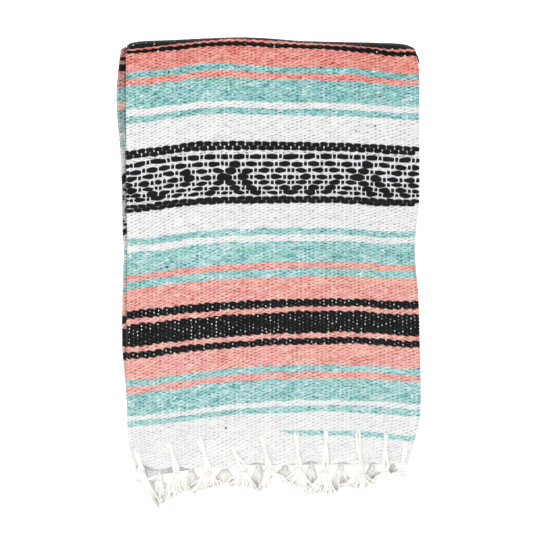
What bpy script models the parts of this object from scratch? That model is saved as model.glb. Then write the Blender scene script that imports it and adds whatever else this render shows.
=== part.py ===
"""A Mexican serape of the falsa kind, folded flat and lying on a surface.  Metres, +Z up.

One woven cloth, 1.27 m by 1.83 m, is folded in quarters across its width and in quarters along its
length, so sixteen plies lie on each other in four packs of four:

    pack 1 (top) and pack 2 end at the front in the two knotted fringes,
    packs 3 and 4 are joined at the front by one fold,
    packs 1 and 4 are joined at the back by the outer roll, packs 2 and 3 by a roll inside it,
    each pack has a fold of all four plies at its left and the selvedges at its right.

+X runs along the weft to the right, +Y from the fringe to the rolled back edge, +Z is up.  The origin
is on the floor under the middle of the whole outline.  The plies that show are walls of their own, and
those between them are one layered solid.  All sizes below are in millimetres.
"""

import math

import bmesh
import bpy

MM = 0.001

# Driving sizes ------------------------------------------------------------------------------------
PLY = 2.25                      # one ply as it lies in the stack
GAP = 0.35                      # air between two solids
WALL = PLY - GAP                # wall of a ply that is built by itself
PACK = 4 * PLY                  # four plies, the blanket's width folded in quarters
STACK = 4 * PACK                # the whole height of the cloth
BACK = 256.0                    # Y of the rolled back edge, before its bow
BACK_RADIUS = 11.5              # outer radius of the roll's upper and lower corner
FRONT_FOLD = -196.4             # Y of the fold that joins packs 3 and 4
FRONT_RADIUS = PACK             # its outer radius
TUCK = 12.0                     # how far the fold's upper ply runs back between packs 2 and 3
CURL_RADIUS = (PACK - GAP) / 2  # a pack's left fold, as the ply that wraps it shows
CURL_TAIL = 3.0                 # that ply's run back under its own pack
EDGE_ROUND = 0.8                # how far a ply's cut or woven edge is rounded back
ROLL_START = BACK - BACK_RADIUS
FIRST_ROW = -172.0              # the frontmost and backmost of the stations that all the plies share
LAST_ROW = ROLL_START - 1.0
ROW_STEPS = 10
ROWS = [FIRST_ROW + (LAST_ROW - FIRST_ROW) * k / ROW_STEPS for k in range(ROW_STEPS + 1)]
SIDE_SLOPE = 0.5                # how much lower the top ply lies along its two sides
HEM_DIP = 0.7                   # how far the top ply's hem dips between two tassels
HEM_DIP_RUN = 55.0              # length over which that dip fades
HEM_ROW_SHARE = 0.35            # place of the station between a hem and the shared stations
SECOND_TOP = 3 * PACK - 0.05    # height of pack 2's upper face
SHARP_DEGREES = 50              # edges that turn more than this are drawn sharp

# How finely the walls are divided.
CELLS_PER_TASSEL = 3            # across the top ply, so that its hem swags between the tassels
SECOND_CELLS = 20
UNDER_CELLS = 12
HIDDEN_CELLS = 8
CURL_STEPS = 6
ROLL_STEPS = 5
FRONT_STEPS = 8

# The sides of the packs: rows from the back edge to the hems, X of each edge.
# y, top_left, top_right, second_left
SIDE_COLUMNS = ("y", "top_left", "top_right", "second_left")
SIDES = [
    (256.0, -149.5, 158.5, -151.0),
    (244.5, -152.8, 160.6, -154.5),
    (236.0, -153.0, 161.9, -159.6),
    (225.0, -153.2, 163.0, -161.9),
    (193.0, -153.3, 163.0, -164.6),
    (139.0, -152.8, 163.2, -160.3),
    (85.0, -152.3, 163.0, -158.2),
    (53.0, -151.9, 159.8, -158.0),
    (27.0, -151.7, 157.6, -156.8),
    (-12.0, -152.3, 161.4, -158.0),
    (-75.0, -152.8, 163.6, -158.2),
    (-119.0, -152.5, 164.6, -154.6),
    (-151.0, -151.8, 163.6, -152.6),
    (-172.0, -150.0, 158.0, -150.6),
    (-188.0, -147.4, 153.2, -148.2),
    (-205.0, -144.4, 149.6, -145.4),
    (-224.0, -142.0, 149.0, -141.0),
]
SECOND_RIGHT_INSET = 1.6        # pack 2's right edge, in from pack 1's
LOWER_LEFT_INSET = 2.4          # left folds of packs 3 and 4, in from pack 2's
LOWER_RIGHT_INSET = 2.6

# How far the back edge lies forward or back of BACK, from left to right.
BOW_COLUMNS = ("x", "back")
BOW = [
    (-165.0, -9.0),
    (-150.0, -5.0),
    (-110.0, -2.5),
    (-71.0, 0.2),
    (-32.0, 1.7),
    (0.0, 0.6),
    (32.0, -2.0),
    (71.0, -3.2),
    (123.0, -4.2),
    (148.0, -6.0),
    (165.0, -13.0),
]

# Y of pack 2's hem, which reaches further out at the left than pack 1's.
SECOND_HEM_COLUMNS = ("x", "hem")
SECOND_HEM = [
    (-165.0, -223.0),
    (-130.0, -220.0),
    (-100.0, -214.0),
    (-70.0, -209.0),
    (-40.0, -204.6),
    (-8.0, -202.0),
    (40.0, -200.8),
    (165.0, -200.8),
]
TOP_HEM = -199.6                # Y of pack 1's hem midway between two tassels
BOW_CLEARANCE = 0.8             # more air inside the bowed back roll
SLOT_SLOPE = 0.1                # a slot's faces lean this much, so that they aren't level
SLOT_END = 3.0                  # pack 2's upper ply ends this far in front of the roll
SPINE_INSET = 4.0               # the hidden plies' join at the roll lies this far in from their sides
SPINE_LEAD = 1.0                # and starts this far in front of the roll
HEM_SETBACK = 1.0               # the plies under a hem end this far behind it

# Right-hand edges from the floor up: how many plies each edge folds in, and how far it lies back.
RIGHT_EDGE_COLUMNS = ("plies", "setback")
RIGHT_EDGES = [
    (1, 0.0), (1, 1.0), (2, 0.4),
    (2, 0.0), (1, 1.4), (1, 0.6),
    (1, 1.2), (1, 0.3), (2, 0.8),
    (2, 0.2), (1, 1.3), (1, 0.0),
]
RIGHT_EDGE_BACK = 0.3           # the hidden plies' edges lie this far in from the walls'
GROOVE_LIFT = 0.12              # a groove's line lies this far over the boundary of two plies
PLY_GROOVE = 0.9                # how deep the groove between two edges is

# Tassels on the top hem: where each neck starts on the cloth, where it passes the hem, and its tips.
TOP_TASSEL_COLUMNS = ("neck_x", "neck_y", "hem_x", "hem_y", "tip_x", "tip_y", "spread")
TOP_TASSELS = [
    (-142.0, -185.6, -136.6, -204.0, -132.6, -233.0, 5.0),
    (-107.6, -180.2, -99.0, -205.6, -97.6, -238.0, 7.0),
    (-74.2, -175.9, -64.5, -207.0, -69.0, -235.0, 6.5),
    (-38.7, -183.5, -26.0, -205.6, -26.6, -231.0, 7.5),
    (-6.5, -172.7, 0.6, -203.0, 6.6, -225.0, 6.5),
    (30.1, -168.4, 33.2, -202.6, 35.0, -236.5, 5.5),
    (62.4, -166.2, 61.3, -206.4, 56.4, -236.8, 5.5),
    (96.8, -166.2, 100.6, -206.6, 97.4, -232.0, 6.5),
    (127.6, -170.5, 126.6, -205.0, 124.8, -222.6, 6.0),
    (148.0, -180.5, 144.4, -204.2, 142.0, -223.0, 4.0),
]
# Tassels on pack 2's hem, between those.
SECOND_TASSEL_COLUMNS = ("hem_x", "tip_x", "tip_y", "spread")
SECOND_TASSELS = [
    (-117.0, -119.6, -256.6, 5.0),
    (-83.0, -83.4, -239.0, 3.2),
    (-46.0, -47.8, -231.0, 5.0),
    (-10.0, -9.6, -235.6, 3.6),
    (18.6, 20.8, -228.0, 3.4),
    (47.4, 45.8, -236.0, 2.2),
    (78.8, 77.4, -235.4, 5.4),
    (112.6, 111.4, -226.0, 3.6),
    (135.4, 134.0, -220.0, 2.0),
]

# A top tassel's neck lies on the cloth: share of its way to the hem, half its width and height.
NECK_COLUMNS = ("share", "half_width", "half_height")
NECK = [
    (0.0, 1.1, 0.6),
    (0.15, 1.7, 1.1),
    (0.5, 2.1, 1.15),
]
# Past the hem it drops into its knot: distance past the hem, drop, half the width and height.
KNOT_COLUMNS = ("past_hem", "drop", "half_width", "half_height")
TOP_KNOT = [
    (0.5, 0.0, 2.5, 1.15),
    (2.7, 2.6, 2.9, 1.5),
    (3.8, 4.4, 3.5, 2.6),
    (6.4, 5.4, 3.7, 2.8),
    (7.6, 5.6, 3.4, 2.5),
]
SECOND_KNOT = [
    (GAP, 0.0, 1.6, 0.8),
    (1.6, 0.4, 2.3, 1.6),
    (2.6, 1.0, 2.8, 2.3),
    (5.0, 1.6, 3.0, 2.4),
    (6.0, 1.8, 2.7, 2.1),
]
STRAND_COLUMNS = 3              # strands of a tassel side by side
STRAND_ROWS = 3                 # and over each other
STRAND_SCALES = (0.75, 0.88, 0.7)  # a strand's thickness at its root, lip and tip, against its cell's
DROP_DEGREES = (38, 68, 90)     # stations of a strand on its way down from the lip
LOWER_REACH = 0.72              # reach of the lowest row of strands against the top one's
TIP_HEIGHT = 2.2                # height of the lowest strands' tips over the floor
TIP_STEP = 0.9                  # and from each row's tips to the next one's
TIP_SPREAD = 1.5                # the strands fan out to this many times their spread, cell edges included
LIP_CLEARANCE = 2.8             # how far past pack 2's hem a top strand starts to drop
TOP_LEVEL_RUN = 11.0            # and at least this far past its own hem
SECOND_LEVEL_RUN = 9.0          # the same for a tassel of pack 2

CLOTH_WHITE = (0.88, 0.88, 0.86, 1.0)
CLOTH_MINT = (0.26, 0.59, 0.52, 1.0)
CLOTH_CORAL = (0.86, 0.30, 0.25, 1.0)
FRINGE_CREAM = (0.90, 0.89, 0.83, 1.0)


# Tables and curves --------------------------------------------------------------------------------
def smooth(rows, columns, key, at):
    """Value of column `key` at `at`, the first column's scale, on a smooth curve through the rows."""
    k = columns.index(key)
    rows = sorted(rows)
    xs = [row[0] for row in rows]
    vs = [row[k] for row in rows]
    if at <= xs[0]:
        return vs[0]
    if at >= xs[-1]:
        return vs[-1]
    i = max(j for j in range(len(xs) - 1) if xs[j] <= at)
    slopes = []
    for j in (i, i + 1):
        before, after = max(j - 1, 0), min(j + 1, len(xs) - 1)
        slopes.append((vs[after] - vs[before]) / (xs[after] - xs[before]))
    span = xs[i + 1] - xs[i]
    t = (at - xs[i]) / span
    return (
        (2 * t**3 - 3 * t**2 + 1) * vs[i]
        + (t**3 - 2 * t**2 + t) * span * slopes[0]
        + (3 * t**2 - 2 * t**3) * vs[i + 1]
        + (t**3 - t**2) * span * slopes[1]
    )


def side(key, y):
    return smooth(SIDES, SIDE_COLUMNS, key, y)


def bow(x, y):
    """How far a point is moved along Y by the bowed back edge; the hems stay where they are."""
    share = (y - TOP_HEM) / (BACK - TOP_HEM)
    return smooth(BOW, BOW_COLUMNS, "back", x) * min(max(share, 0.0), 1.0)


def second_hem(x):
    return smooth(SECOND_HEM, SECOND_HEM_COLUMNS, "hem", x)


def top_hem(x):
    """Y of the top hem, which swags back between the tassels that gather it."""
    tips = [(row[2], row[3]) for row in TOP_TASSELS]
    if x <= tips[0][0]:
        return tips[0][1]
    for (x0, y0), (x1, y1) in zip(tips, tips[1:]):
        if x <= x1:
            t = (x - x0) / (x1 - x0)
            gathered = (y0 + (y1 - y0) * t)
            return TOP_HEM + (gathered - TOP_HEM) * (0.5 + 0.5 * math.cos(2 * math.pi * t))
    return tips[-1][1]


def top_height(x, y):
    """Height of the top ply's upper face: lower along its sides, and between two tassels at the hem."""
    left, right = side("top_left", y), side("top_right", y)
    off_centre = min(abs(2 * (x - left) / (right - left) - 1), 1.0)
    fade = min(max(0.0, 1.0 - (y - TOP_HEM) / HEM_DIP_RUN), 1.0)
    deepest = max(abs(row[3] - TOP_HEM) for row in TOP_TASSELS)
    dip = HEM_DIP * fade * (1.0 - abs(top_hem(x) - TOP_HEM) / deepest)
    return STACK - SIDE_SLOPE * off_centre**4 - dip


# Meshes -------------------------------------------------------------------------------------------
def material(name, colour, roughness):
    made = bpy.data.materials.new(name)
    made.use_nodes = True
    shader = made.node_tree.nodes["Principled BSDF"]
    shader.inputs["Base Color"].default_value = colour
    shader.inputs["Roughness"].default_value = roughness
    shader.inputs["Metallic"].default_value = 0.0
    return made


def add_object(name, points, faces, finish):
    """Makes one closed body from points in millimetres, with its faces pointing out."""
    mesh = bpy.data.meshes.new(name)
    mesh.from_pydata([(x * MM, y * MM, z * MM) for x, y, z in points], [], faces)
    build = bmesh.new()
    build.from_mesh(mesh)
    bmesh.ops.recalc_face_normals(build, faces=build.faces)
    build.to_mesh(mesh)
    build.free()
    mesh.shade_smooth()
    mesh.set_sharp_from_angle(angle=math.radians(SHARP_DEGREES))
    mesh.materials.append(finish)
    made = bpy.data.objects.new(name, mesh)
    bpy.context.scene.collection.objects.link(made)
    return made


def ring_faces(count, first, second):
    """Quads between two closed rings of `count` points that start at the two given indices."""
    return [
        (first + k, first + (k + 1) % count, second + (k + 1) % count, second + k)
        for k in range(count)
    ]


# Walls of cloth -----------------------------------------------------------------------------------
def level(ys, z, inward):
    """Path points (y, z, inward y, inward z) of a flat stretch; inward is -1.0 down or 1.0 up."""
    return [(y, z, 0.0, inward) for y in ys]


def arc(centre_y, centre_z, radius, start_degrees, end_degrees, steps):
    """Path points round an arc, its last point among them; inward is towards the centre."""
    points = []
    for k in range(steps + 1):
        angle = math.radians(start_degrees + (end_degrees - start_degrees) * k / steps)
        c, s = math.cos(angle), math.sin(angle)
        points.append((centre_y + radius * c, centre_z + radius * s, -c, -s))
    return points


def curl_section(left, right, across):
    """Outer and inner line of a ply that wraps its pack's left fold, as (x, depth) pairs."""
    centre = left + CURL_RADIUS
    run = right - EDGE_ROUND - centre
    flat = [right - EDGE_ROUND - run * k / across for k in range(across + 1)]
    outer = [(x, 0.0) for x in flat]
    inner = [(x, WALL) for x in flat]
    for k in range(1, CURL_STEPS + 1):
        angle = math.pi * k / CURL_STEPS
        s, c = math.sin(angle), math.cos(angle)
        reach = CURL_RADIUS - WALL
        outer.append((centre - CURL_RADIUS * s, CURL_RADIUS * (1 - c)))
        inner.append((centre - reach * s, CURL_RADIUS - reach * c))
    tail = centre + CURL_TAIL
    outer.append((tail, 2 * CURL_RADIUS))
    inner.append((tail, 2 * CURL_RADIUS - WALL))
    return outer, inner


def flat_section(left, right, across):
    """Outer and inner line of a ply with two free edges."""
    run = right - left - 2 * EDGE_ROUND
    xs = [right - EDGE_ROUND - run * k / across for k in range(across + 1)]
    return [(x, 0.0) for x in xs], [(x, WALL) for x in xs]


def wall(name, path, section_at, place, finish):
    """Sweeps a ply's section along a path.

    section_at(station) gives the section's outer and inner line, and place(x, y, z, depth) the point
    of the bowed, swagged cloth for a point of the straight one.
    """
    points, faces, starts = [], [], []
    for y, z, inward_y, inward_z in path:
        outer, inner = section_at(y)
        end_depth = (outer[-1][1] + inner[-1][1]) / 2
        lead = 1 if outer[-1][0] > outer[-2][0] else -1
        loop = outer + [(outer[-1][0] + lead * EDGE_ROUND, end_depth)]
        loop += inner[::-1] + [(outer[0][0] + EDGE_ROUND, WALL / 2)]
        starts.append(len(points))
        for x, depth in loop:
            points.append(place(x, y + inward_y * depth, z + inward_z * depth, depth))
    half = len(outer)
    size = 2 * half + 2
    for first, second in zip(starts, starts[1:]):
        faces += ring_faces(size, first, second)
    for start, turn in ((starts[0], 1), (starts[-1], -1)):
        last = start + size - 2
        cap = [(start + k, start + k + 1, last - k - 1, last - k) for k in range(half - 1)]
        cap += [(start + half - 1, start + half, start + half + 1), (last, start + size - 1, start)]
        faces += [face[::turn] for face in cap]
    return add_object(name, points, faces, finish)


def build_top_leaf(finish):
    """Pack 1's outer ply: from the hem over the top, round the back roll to its lower corner."""
    hem_rows = [TOP_HEM, TOP_HEM + HEM_ROW_SHARE * (FIRST_ROW - TOP_HEM)]
    path = level(hem_rows + ROWS, STACK, -1.0)
    path += arc(ROLL_START, STACK - BACK_RADIUS, BACK_RADIUS, 90, 0, ROLL_STEPS)
    path += arc(ROLL_START, BACK_RADIUS, BACK_RADIUS, 0, -90, ROLL_STEPS)
    across = CELLS_PER_TASSEL * len(TOP_TASSELS)

    def section_at(y):
        return curl_section(side("top_left", y), side("top_right", y), across)

    def place(x, y, z, depth):
        share = min(max((FIRST_ROW - y) / (FIRST_ROW - TOP_HEM), 0.0), 1.0)
        swag = (top_hem(x) - TOP_HEM) * share
        if depth == 0.0 and y < ROLL_START and z > STACK / 2:
            z = top_height(x, y)
        return (x, y + swag + bow(x, y), z)

    return wall("top_leaf", path, section_at, place, finish)


def build_second_leaf(finish):
    """Pack 2's upper ply, which shows along the left fold and past the top hem."""
    start = min(row[1] for row in SECOND_HEM)
    hem_rows = [start, start + HEM_ROW_SHARE * (FIRST_ROW - start)]
    path = level(hem_rows + ROWS[:-1] + [ROLL_START - SLOT_END], SECOND_TOP, -1.0)

    def section_at(y):
        right = side("top_right", y) - SECOND_RIGHT_INSET
        return curl_section(side("second_left", y), right, SECOND_CELLS)

    def place(x, y, z, depth):
        share = min(max((FIRST_ROW - y) / (FIRST_ROW - start), 0.0), 1.0)
        return (x, y + (second_hem(x) - start) * share + bow(x, y), z)

    return wall("second_leaf", path, section_at, place, finish)


def build_under_leaf(finish):
    """Pack 4's outer ply: flat on the floor, round the front fold and back in between the packs."""
    front = FRONT_FOLD + FRONT_RADIUS
    path = level([ROLL_START - GAP] + ROWS[:-1][::-1], 0.0, 1.0)
    path += arc(front, FRONT_RADIUS, FRONT_RADIUS, -90, -270, FRONT_STEPS)
    path.append((front + TUCK, 2 * FRONT_RADIUS, 0.0, -1.0))

    def section_at(y):
        left = side("second_left", y) + LOWER_LEFT_INSET + PLY
        return flat_section(left, side("top_right", y) - LOWER_RIGHT_INSET, UNDER_CELLS)

    def place(x, y, z, depth):
        return (x, y + bow(x, y), z)

    return wall("under_leaf", path, section_at, place, finish)


# The plies between ------------------------------------------------------------------------------
def round_inset(z, middle, radius):
    """How far a round edge of this radius lies in from its crest at height z."""
    return radius - math.sqrt(max(radius**2 - (z - middle) ** 2, 0.0))


def left_inset(z):
    """Left edge of the hidden plies at height z, in from their pack's own edge."""
    base = PACK * int(z // PACK)
    if z > 2 * PACK:
        inner_radius = (PACK - PLY - GAP - PLY) / 2
        middle = base + GAP + PLY + inner_radius
        if z < middle - inner_radius:
            return CURL_RADIUS + CURL_TAIL + EDGE_ROUND + GAP
        return PLY + round_inset(z, middle, inner_radius)
    return round_inset(z, base + PACK / 2, PACK / 2)


def right_inset(z):
    low = 0.0
    for plies, setback in RIGHT_EDGES:
        high = low + plies * PLY
        if low <= z < high:
            share = abs(2 * (z - low) / (high - low) - 1)
            return RIGHT_EDGE_BACK + setback + PLY_GROOVE * share**3
        low = high
    return PLY_GROOVE


def inner_roll(z):
    """Y to which the left folds of packs 2 and 3 run on, inside the outer roll's own folded edge."""
    radius = BACK_RADIUS - PACK
    lean = max(z - (STACK - BACK_RADIUS), BACK_RADIUS - z, 0.0)
    if lean >= radius:
        return LAST_ROW
    return ROLL_START + math.sqrt(radius**2 - lean**2) - GAP


def hidden_sides(z, y):
    """Left and right X of the hidden plies at height z and station y."""
    if y > inner_roll(z):
        left = side("top_left", BACK) + CURL_RADIUS + CURL_TAIL + EDGE_ROUND + GAP
        return left, side("top_right", BACK) - SECOND_RIGHT_INSET
    if z > 3 * PACK:
        left, right = side("top_left", y), side("top_right", y)
    else:
        left = side("second_left", y) + (LOWER_LEFT_INSET if z < 2 * PACK else 0.0)
        right = side("top_right", y) - (LOWER_RIGHT_INSET if z < 2 * PACK else SECOND_RIGHT_INSET)
    return left + left_inset(z), right - right_inset(z)


def hidden_front(z, x):
    """Y of the hidden plies' front edge at height z."""
    groove = PLY_GROOVE * abs(2 * ((z / PLY) % 1) - 1) ** 3
    if z > 3 * PACK:
        return TOP_HEM + HEM_SETBACK + groove
    if z > 2 * PACK + GAP - SLOT_SLOPE / 2:
        return second_hem(x) + HEM_SETBACK + groove
    front = FRONT_FOLD + FRONT_RADIUS
    if z > 2 * PACK - PLY:
        return front + TUCK + EDGE_ROUND + GAP
    return front - FRONT_RADIUS + PLY + round_inset(z, FRONT_RADIUS, FRONT_RADIUS - PLY)


def hidden_back(z):
    """Y of the hidden plies' back edge, inside the roll's outer ply."""
    reach = BACK_RADIUS - PLY - BOW_CLEARANCE
    if z > STACK - BACK_RADIUS:
        return ROLL_START + reach - round_inset(z, STACK - BACK_RADIUS, reach)
    if z < BACK_RADIUS:
        return ROLL_START + reach - round_inset(z, BACK_RADIUS, reach)
    return ROLL_START + reach


def build_hidden_layers(finish):
    """All plies between the walls, as one solid with its edges layered, open in front of the roll
    where pack 2's upper ply runs in."""
    cells_x, cells_y = HIDDEN_CELLS, len(ROWS) + 3
    slot = (3 * PACK - PLY, 3 * PACK + GAP)

    def ring(z, spine=False):
        """The solid's outline at height z, anticlockwise from its front left corner."""
        turn = inner_roll(z)
        sides = [(y, *hidden_sides(z, y)) for y in ROWS + [turn]]
        sides.append((turn + GAP / 2, *hidden_sides(z, BACK)))
        fronts = (hidden_front(z, SIDES[0][1]), hidden_front(z, SIDES[0][2]))
        left, right = hidden_sides(z, fronts[0])[0], hidden_sides(z, fronts[1])[1]
        back_left, back_right = hidden_sides(z, BACK)
        back = hidden_back(z)
        if spine:
            left = back_left = back_left + SPINE_INSET
            right = back_right = back_right - SPINE_INSET
            back -= BOW_CLEARANCE
            start = ROLL_START - SPINE_LEAD
            step = SPINE_LEAD / len(sides)
            sides = [(start + step * (k + 1), left, right) for k in range(len(sides))]
        loop = []
        for k in range(cells_x + 1):
            x = left + (right - left) * k / cells_x
            front = start if spine else hidden_front(z, x)
            loop.append((x, front, z))
        loop += [(side_right, y, z) for y, _, side_right in sides]
        for k in range(cells_x + 1):
            loop.append((back_right + (back_left - back_right) * k / cells_x, back, z))
        loop += [(side_left, y, z) for y, side_left, _ in reversed(sides)]
        return [(x, y + bow(x, y), z) for x, y, z in loop]

    rings = []
    for ply in range(1, round(STACK / PLY) - 1):
        low = PLY * ply
        if low == slot[0]:
            rings += [ring(slot[0]), ring(slot[0] + SLOT_SLOPE, True)]
            rings += [ring(slot[1] - SLOT_SLOPE, True), ring(slot[1])]
        elif low == 2 * PACK:
            rings += [ring(low + GAP - SLOT_SLOPE), ring(low + GAP), ring(low + (GAP + PLY) / 2)]
        elif low == 3 * PACK:
            rings.append(ring(low + (GAP + PLY) / 2))
        else:
            rings += [ring(low + GROOVE_LIFT), ring(low + PLY / 2)]
    rings.append(ring(STACK - PLY))

    size = len(rings[0])
    points = [point for loop in rings for point in loop]
    faces = []
    for k in range(len(rings) - 1):
        faces += ring_faces(size, k * size, (k + 1) * size)
    for start, turn in ((0, -1), ((len(rings) - 1) * size, 1)):
        grid = cap_grid(points, start, cells_x, cells_y)
        faces += [face[::turn] for face in grid]
    return add_object("hidden_layers", points, faces, finish)


def cap_grid(points, start, cells_x, cells_y):
    """Closes a ring of 2 * (cells_x + cells_y) points with a grid; adds the grid's inner points."""
    front = [start + k for k in range(cells_x + 1)]
    right = [start + cells_x + k for k in range(cells_y + 1)]
    back = [start + cells_x + cells_y + k for k in range(cells_x + 1)][::-1]
    left = [start + (2 * cells_x + cells_y + k) % (2 * (cells_x + cells_y)) for k in range(cells_y + 1)]
    left = left[::-1]
    rows = [front]
    for j in range(1, cells_y):
        row = [left[j]]
        for i in range(1, cells_x):
            s, t = i / cells_x, j / cells_y
            blend = []
            for axis in range(3):
                across = points[left[j]][axis] * (1 - s) + points[right[j]][axis] * s
                along = points[front[i]][axis] * (1 - t) + points[back[i]][axis] * t
                corners = (
                    (points[front[0]][axis] * (1 - s) + points[front[-1]][axis] * s) * (1 - t)
                    + (points[back[0]][axis] * (1 - s) + points[back[-1]][axis] * s) * t
                )
                blend.append(across + along - corners)
            row.append(len(points))
            points.append(tuple(blend))
        row.append(right[j])
        rows.append(row)
    rows.append(back)
    return [
        (rows[j][i], rows[j][i + 1], rows[j + 1][i + 1], rows[j + 1][i])
        for j in range(cells_y)
        for i in range(cells_x)
    ]


# Tassels ------------------------------------------------------------------------------------------
def disc_point(column, row):
    """A point of the head's end grid, on a disc of radius 1."""
    a = 2 * column / STRAND_COLUMNS - 1
    b = 2 * row / STRAND_ROWS - 1
    return a * math.sqrt(1 - b * b / 2), b * math.sqrt(1 - a * a / 2)


def rim():
    """Grid corners round the head's end, anticlockwise from the lower left."""
    c, r = STRAND_COLUMNS, STRAND_ROWS
    walk = [(k, 0) for k in range(c)] + [(c, k) for k in range(r)]
    return walk + [(c - k, r) for k in range(c)] + [(0, r - k) for k in range(r)]


def knot_spine(x, hem_y, level, rows):
    """Stations of a neck's end and knot, for a neck that lies at height `level` over the hem."""
    return [(x, hem_y - past, level - drop, wide, high) for past, drop, wide, high in rows]


def strand_stations(root, lip, end):
    """Centres of a strand's sections, and each section's scale: level to its lip, then down."""
    at_root, at_lip, at_tip = STRAND_SCALES
    stations = [(root, at_root), (lip, at_lip)]
    for degrees in DROP_DEGREES:
        s, c = math.sin(math.radians(degrees)), math.cos(math.radians(degrees))
        x = lip[0] + (end[0] - lip[0]) * s
        y = lip[1] + (end[1] - lip[1]) * s
        z = end[2] + (lip[2] - end[2]) * c
        stations.append(((x, y, z), at_lip + (at_tip - at_lip) * degrees / DROP_DEGREES[-1]))
    return stations


def build_tassel(name, spine, lip_y, tip_x, tip_y, spread, finish):
    """A neck and knot with strands drawn out of the knot's front end.

    spine lists the neck's and knot's stations as (x, y, z, half width, half height), back to front.
    The strands run level to lip_y and then drop to the floor.
    """
    walk = rim()
    size = len(walk)
    points, faces = [], []
    for x, y, z, half_width, half_height in spine:
        for column, row in walk:
            a, b = disc_point(column, row)
            points.append((x + a * half_width, y, z + b * half_height))
    for k in range(len(spine) - 1):
        faces += ring_faces(size, k * size, (k + 1) * size)
    faces.append(tuple(range(size)))

    head_x, head_y, head_z, half_width, half_height = spine[-1]
    corner = {walk[k]: (len(spine) - 1) * size + k for k in range(size)}
    for column in range(1, STRAND_COLUMNS):
        for row in range(1, STRAND_ROWS):
            a, b = disc_point(column, row)
            corner[column, row] = len(points)
            points.append((head_x + a * half_width, head_y, head_z + b * half_height))

    for column in range(STRAND_COLUMNS):
        for row in range(STRAND_ROWS):
            cell = [(column, row), (column + 1, row), (column + 1, row + 1), (column, row + 1)]
            before = [corner[c] for c in cell]
            root = [sum(points[k][axis] for k in before) / 4 for axis in range(3)]
            arms = [[points[k][axis] - root[axis] for axis in range(3)] for k in before]
            reach = LOWER_REACH + (1 - LOWER_REACH) * row / (STRAND_ROWS - 1)
            lean = 2 * (column + 0.5) / STRAND_COLUMNS - 1
            end_y = lip_y + (tip_y - lip_y) * reach
            end = (tip_x + lean * spread * TIP_SPREAD, end_y, TIP_HEIGHT + TIP_STEP * row)
            level_share = (head_y - lip_y) / (head_y - end_y)
            lip = (root[0] + (end[0] - root[0]) * level_share, lip_y, root[2])
            for centre, scale in strand_stations(root, lip, end):
                start = len(points)
                points += [tuple(centre[axis] + arm[axis] * scale for axis in range(3)) for arm in arms]
                section = [start + k for k in range(len(cell))]
                faces += [
                    (before[k - 1], before[k], section[k], section[k - 1]) for k in range(len(cell))
                ]
                before = section
            faces.append(tuple(before))
    return add_object(name, points, faces, finish)


def build_top_tassels(finish):
    for number, row in enumerate(TOP_TASSELS, 1):
        neck_x, neck_y, hem_x, hem_y, tip_x, tip_y, spread = row
        spine = []
        for share, half_width, half_height in NECK:
            x = neck_x + (hem_x - neck_x) * share
            y = neck_y + (hem_y - neck_y) * share
            spine.append((x, y, top_height(x, y) + GAP + half_height, half_width, half_height))
        level = top_height(hem_x, hem_y) + GAP + TOP_KNOT[0][-1]
        spine += knot_spine(hem_x, hem_y, level, TOP_KNOT)
        lip_y = min(second_hem(hem_x) - LIP_CLEARANCE, hem_y - TOP_LEVEL_RUN)
        build_tassel(f"tassel_top_{number:02d}", spine, lip_y, tip_x, tip_y, spread, finish)


def build_second_tassels(finish):
    for number, (hem_x, tip_x, tip_y, spread) in enumerate(SECOND_TASSELS, 1):
        hem_y = second_hem(hem_x)
        spine = knot_spine(hem_x, hem_y, SECOND_TOP - PLY / 2, SECOND_KNOT)
        lip_y = hem_y - SECOND_LEVEL_RUN
        build_tassel(f"tassel_second_{number:02d}", spine, lip_y, tip_x, tip_y, spread, finish)


def main():
    for old in list(bpy.data.objects):
        bpy.data.objects.remove(old, do_unlink=True)
    build_top_leaf(material("top_leaf_cloth", CLOTH_CORAL, 0.9))
    build_second_leaf(material("second_leaf_cloth", CLOTH_WHITE, 0.9))
    build_under_leaf(material("under_leaf_cloth", CLOTH_MINT, 0.9))
    build_hidden_layers(material("hidden_cloth", CLOTH_WHITE, 0.95))
    fringe = material("fringe_cotton", FRINGE_CREAM, 0.85)
    build_top_tassels(fringe)
    build_second_tassels(fringe)


main()
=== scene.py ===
"""Looks of the folded serape: the woven cloth, its figured bands, its layered sides and its fringe.

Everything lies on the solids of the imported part.  X runs along the weft, Y from the fringe to the
rolled back edge.  Sizes are in millimetres and become metres in the mesh helpers.  A place on the cloth
is (x, c): x across, and c along the cloth, equal to Y on the middle of the top face and running on
round the back roll by arc length.
"""

import math

import bpy
import numpy as np
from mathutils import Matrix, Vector


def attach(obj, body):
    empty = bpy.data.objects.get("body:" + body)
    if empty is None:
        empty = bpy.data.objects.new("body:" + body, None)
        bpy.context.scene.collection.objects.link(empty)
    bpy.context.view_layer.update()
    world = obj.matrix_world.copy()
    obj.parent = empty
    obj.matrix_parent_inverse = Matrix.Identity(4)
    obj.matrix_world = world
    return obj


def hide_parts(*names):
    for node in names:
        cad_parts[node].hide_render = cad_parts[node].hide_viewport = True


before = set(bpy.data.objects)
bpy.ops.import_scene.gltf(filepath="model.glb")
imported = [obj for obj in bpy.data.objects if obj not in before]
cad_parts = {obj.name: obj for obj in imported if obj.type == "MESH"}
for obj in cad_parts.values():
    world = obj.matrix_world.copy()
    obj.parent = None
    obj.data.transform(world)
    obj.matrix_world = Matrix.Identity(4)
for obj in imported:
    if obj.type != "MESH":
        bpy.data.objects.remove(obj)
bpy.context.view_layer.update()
rng = np.random.default_rng(1848)

MM = 0.001
CUTS = {}  # sheet: width and length of what shows of it, laid flat, and how much of that there is cloth

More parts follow.
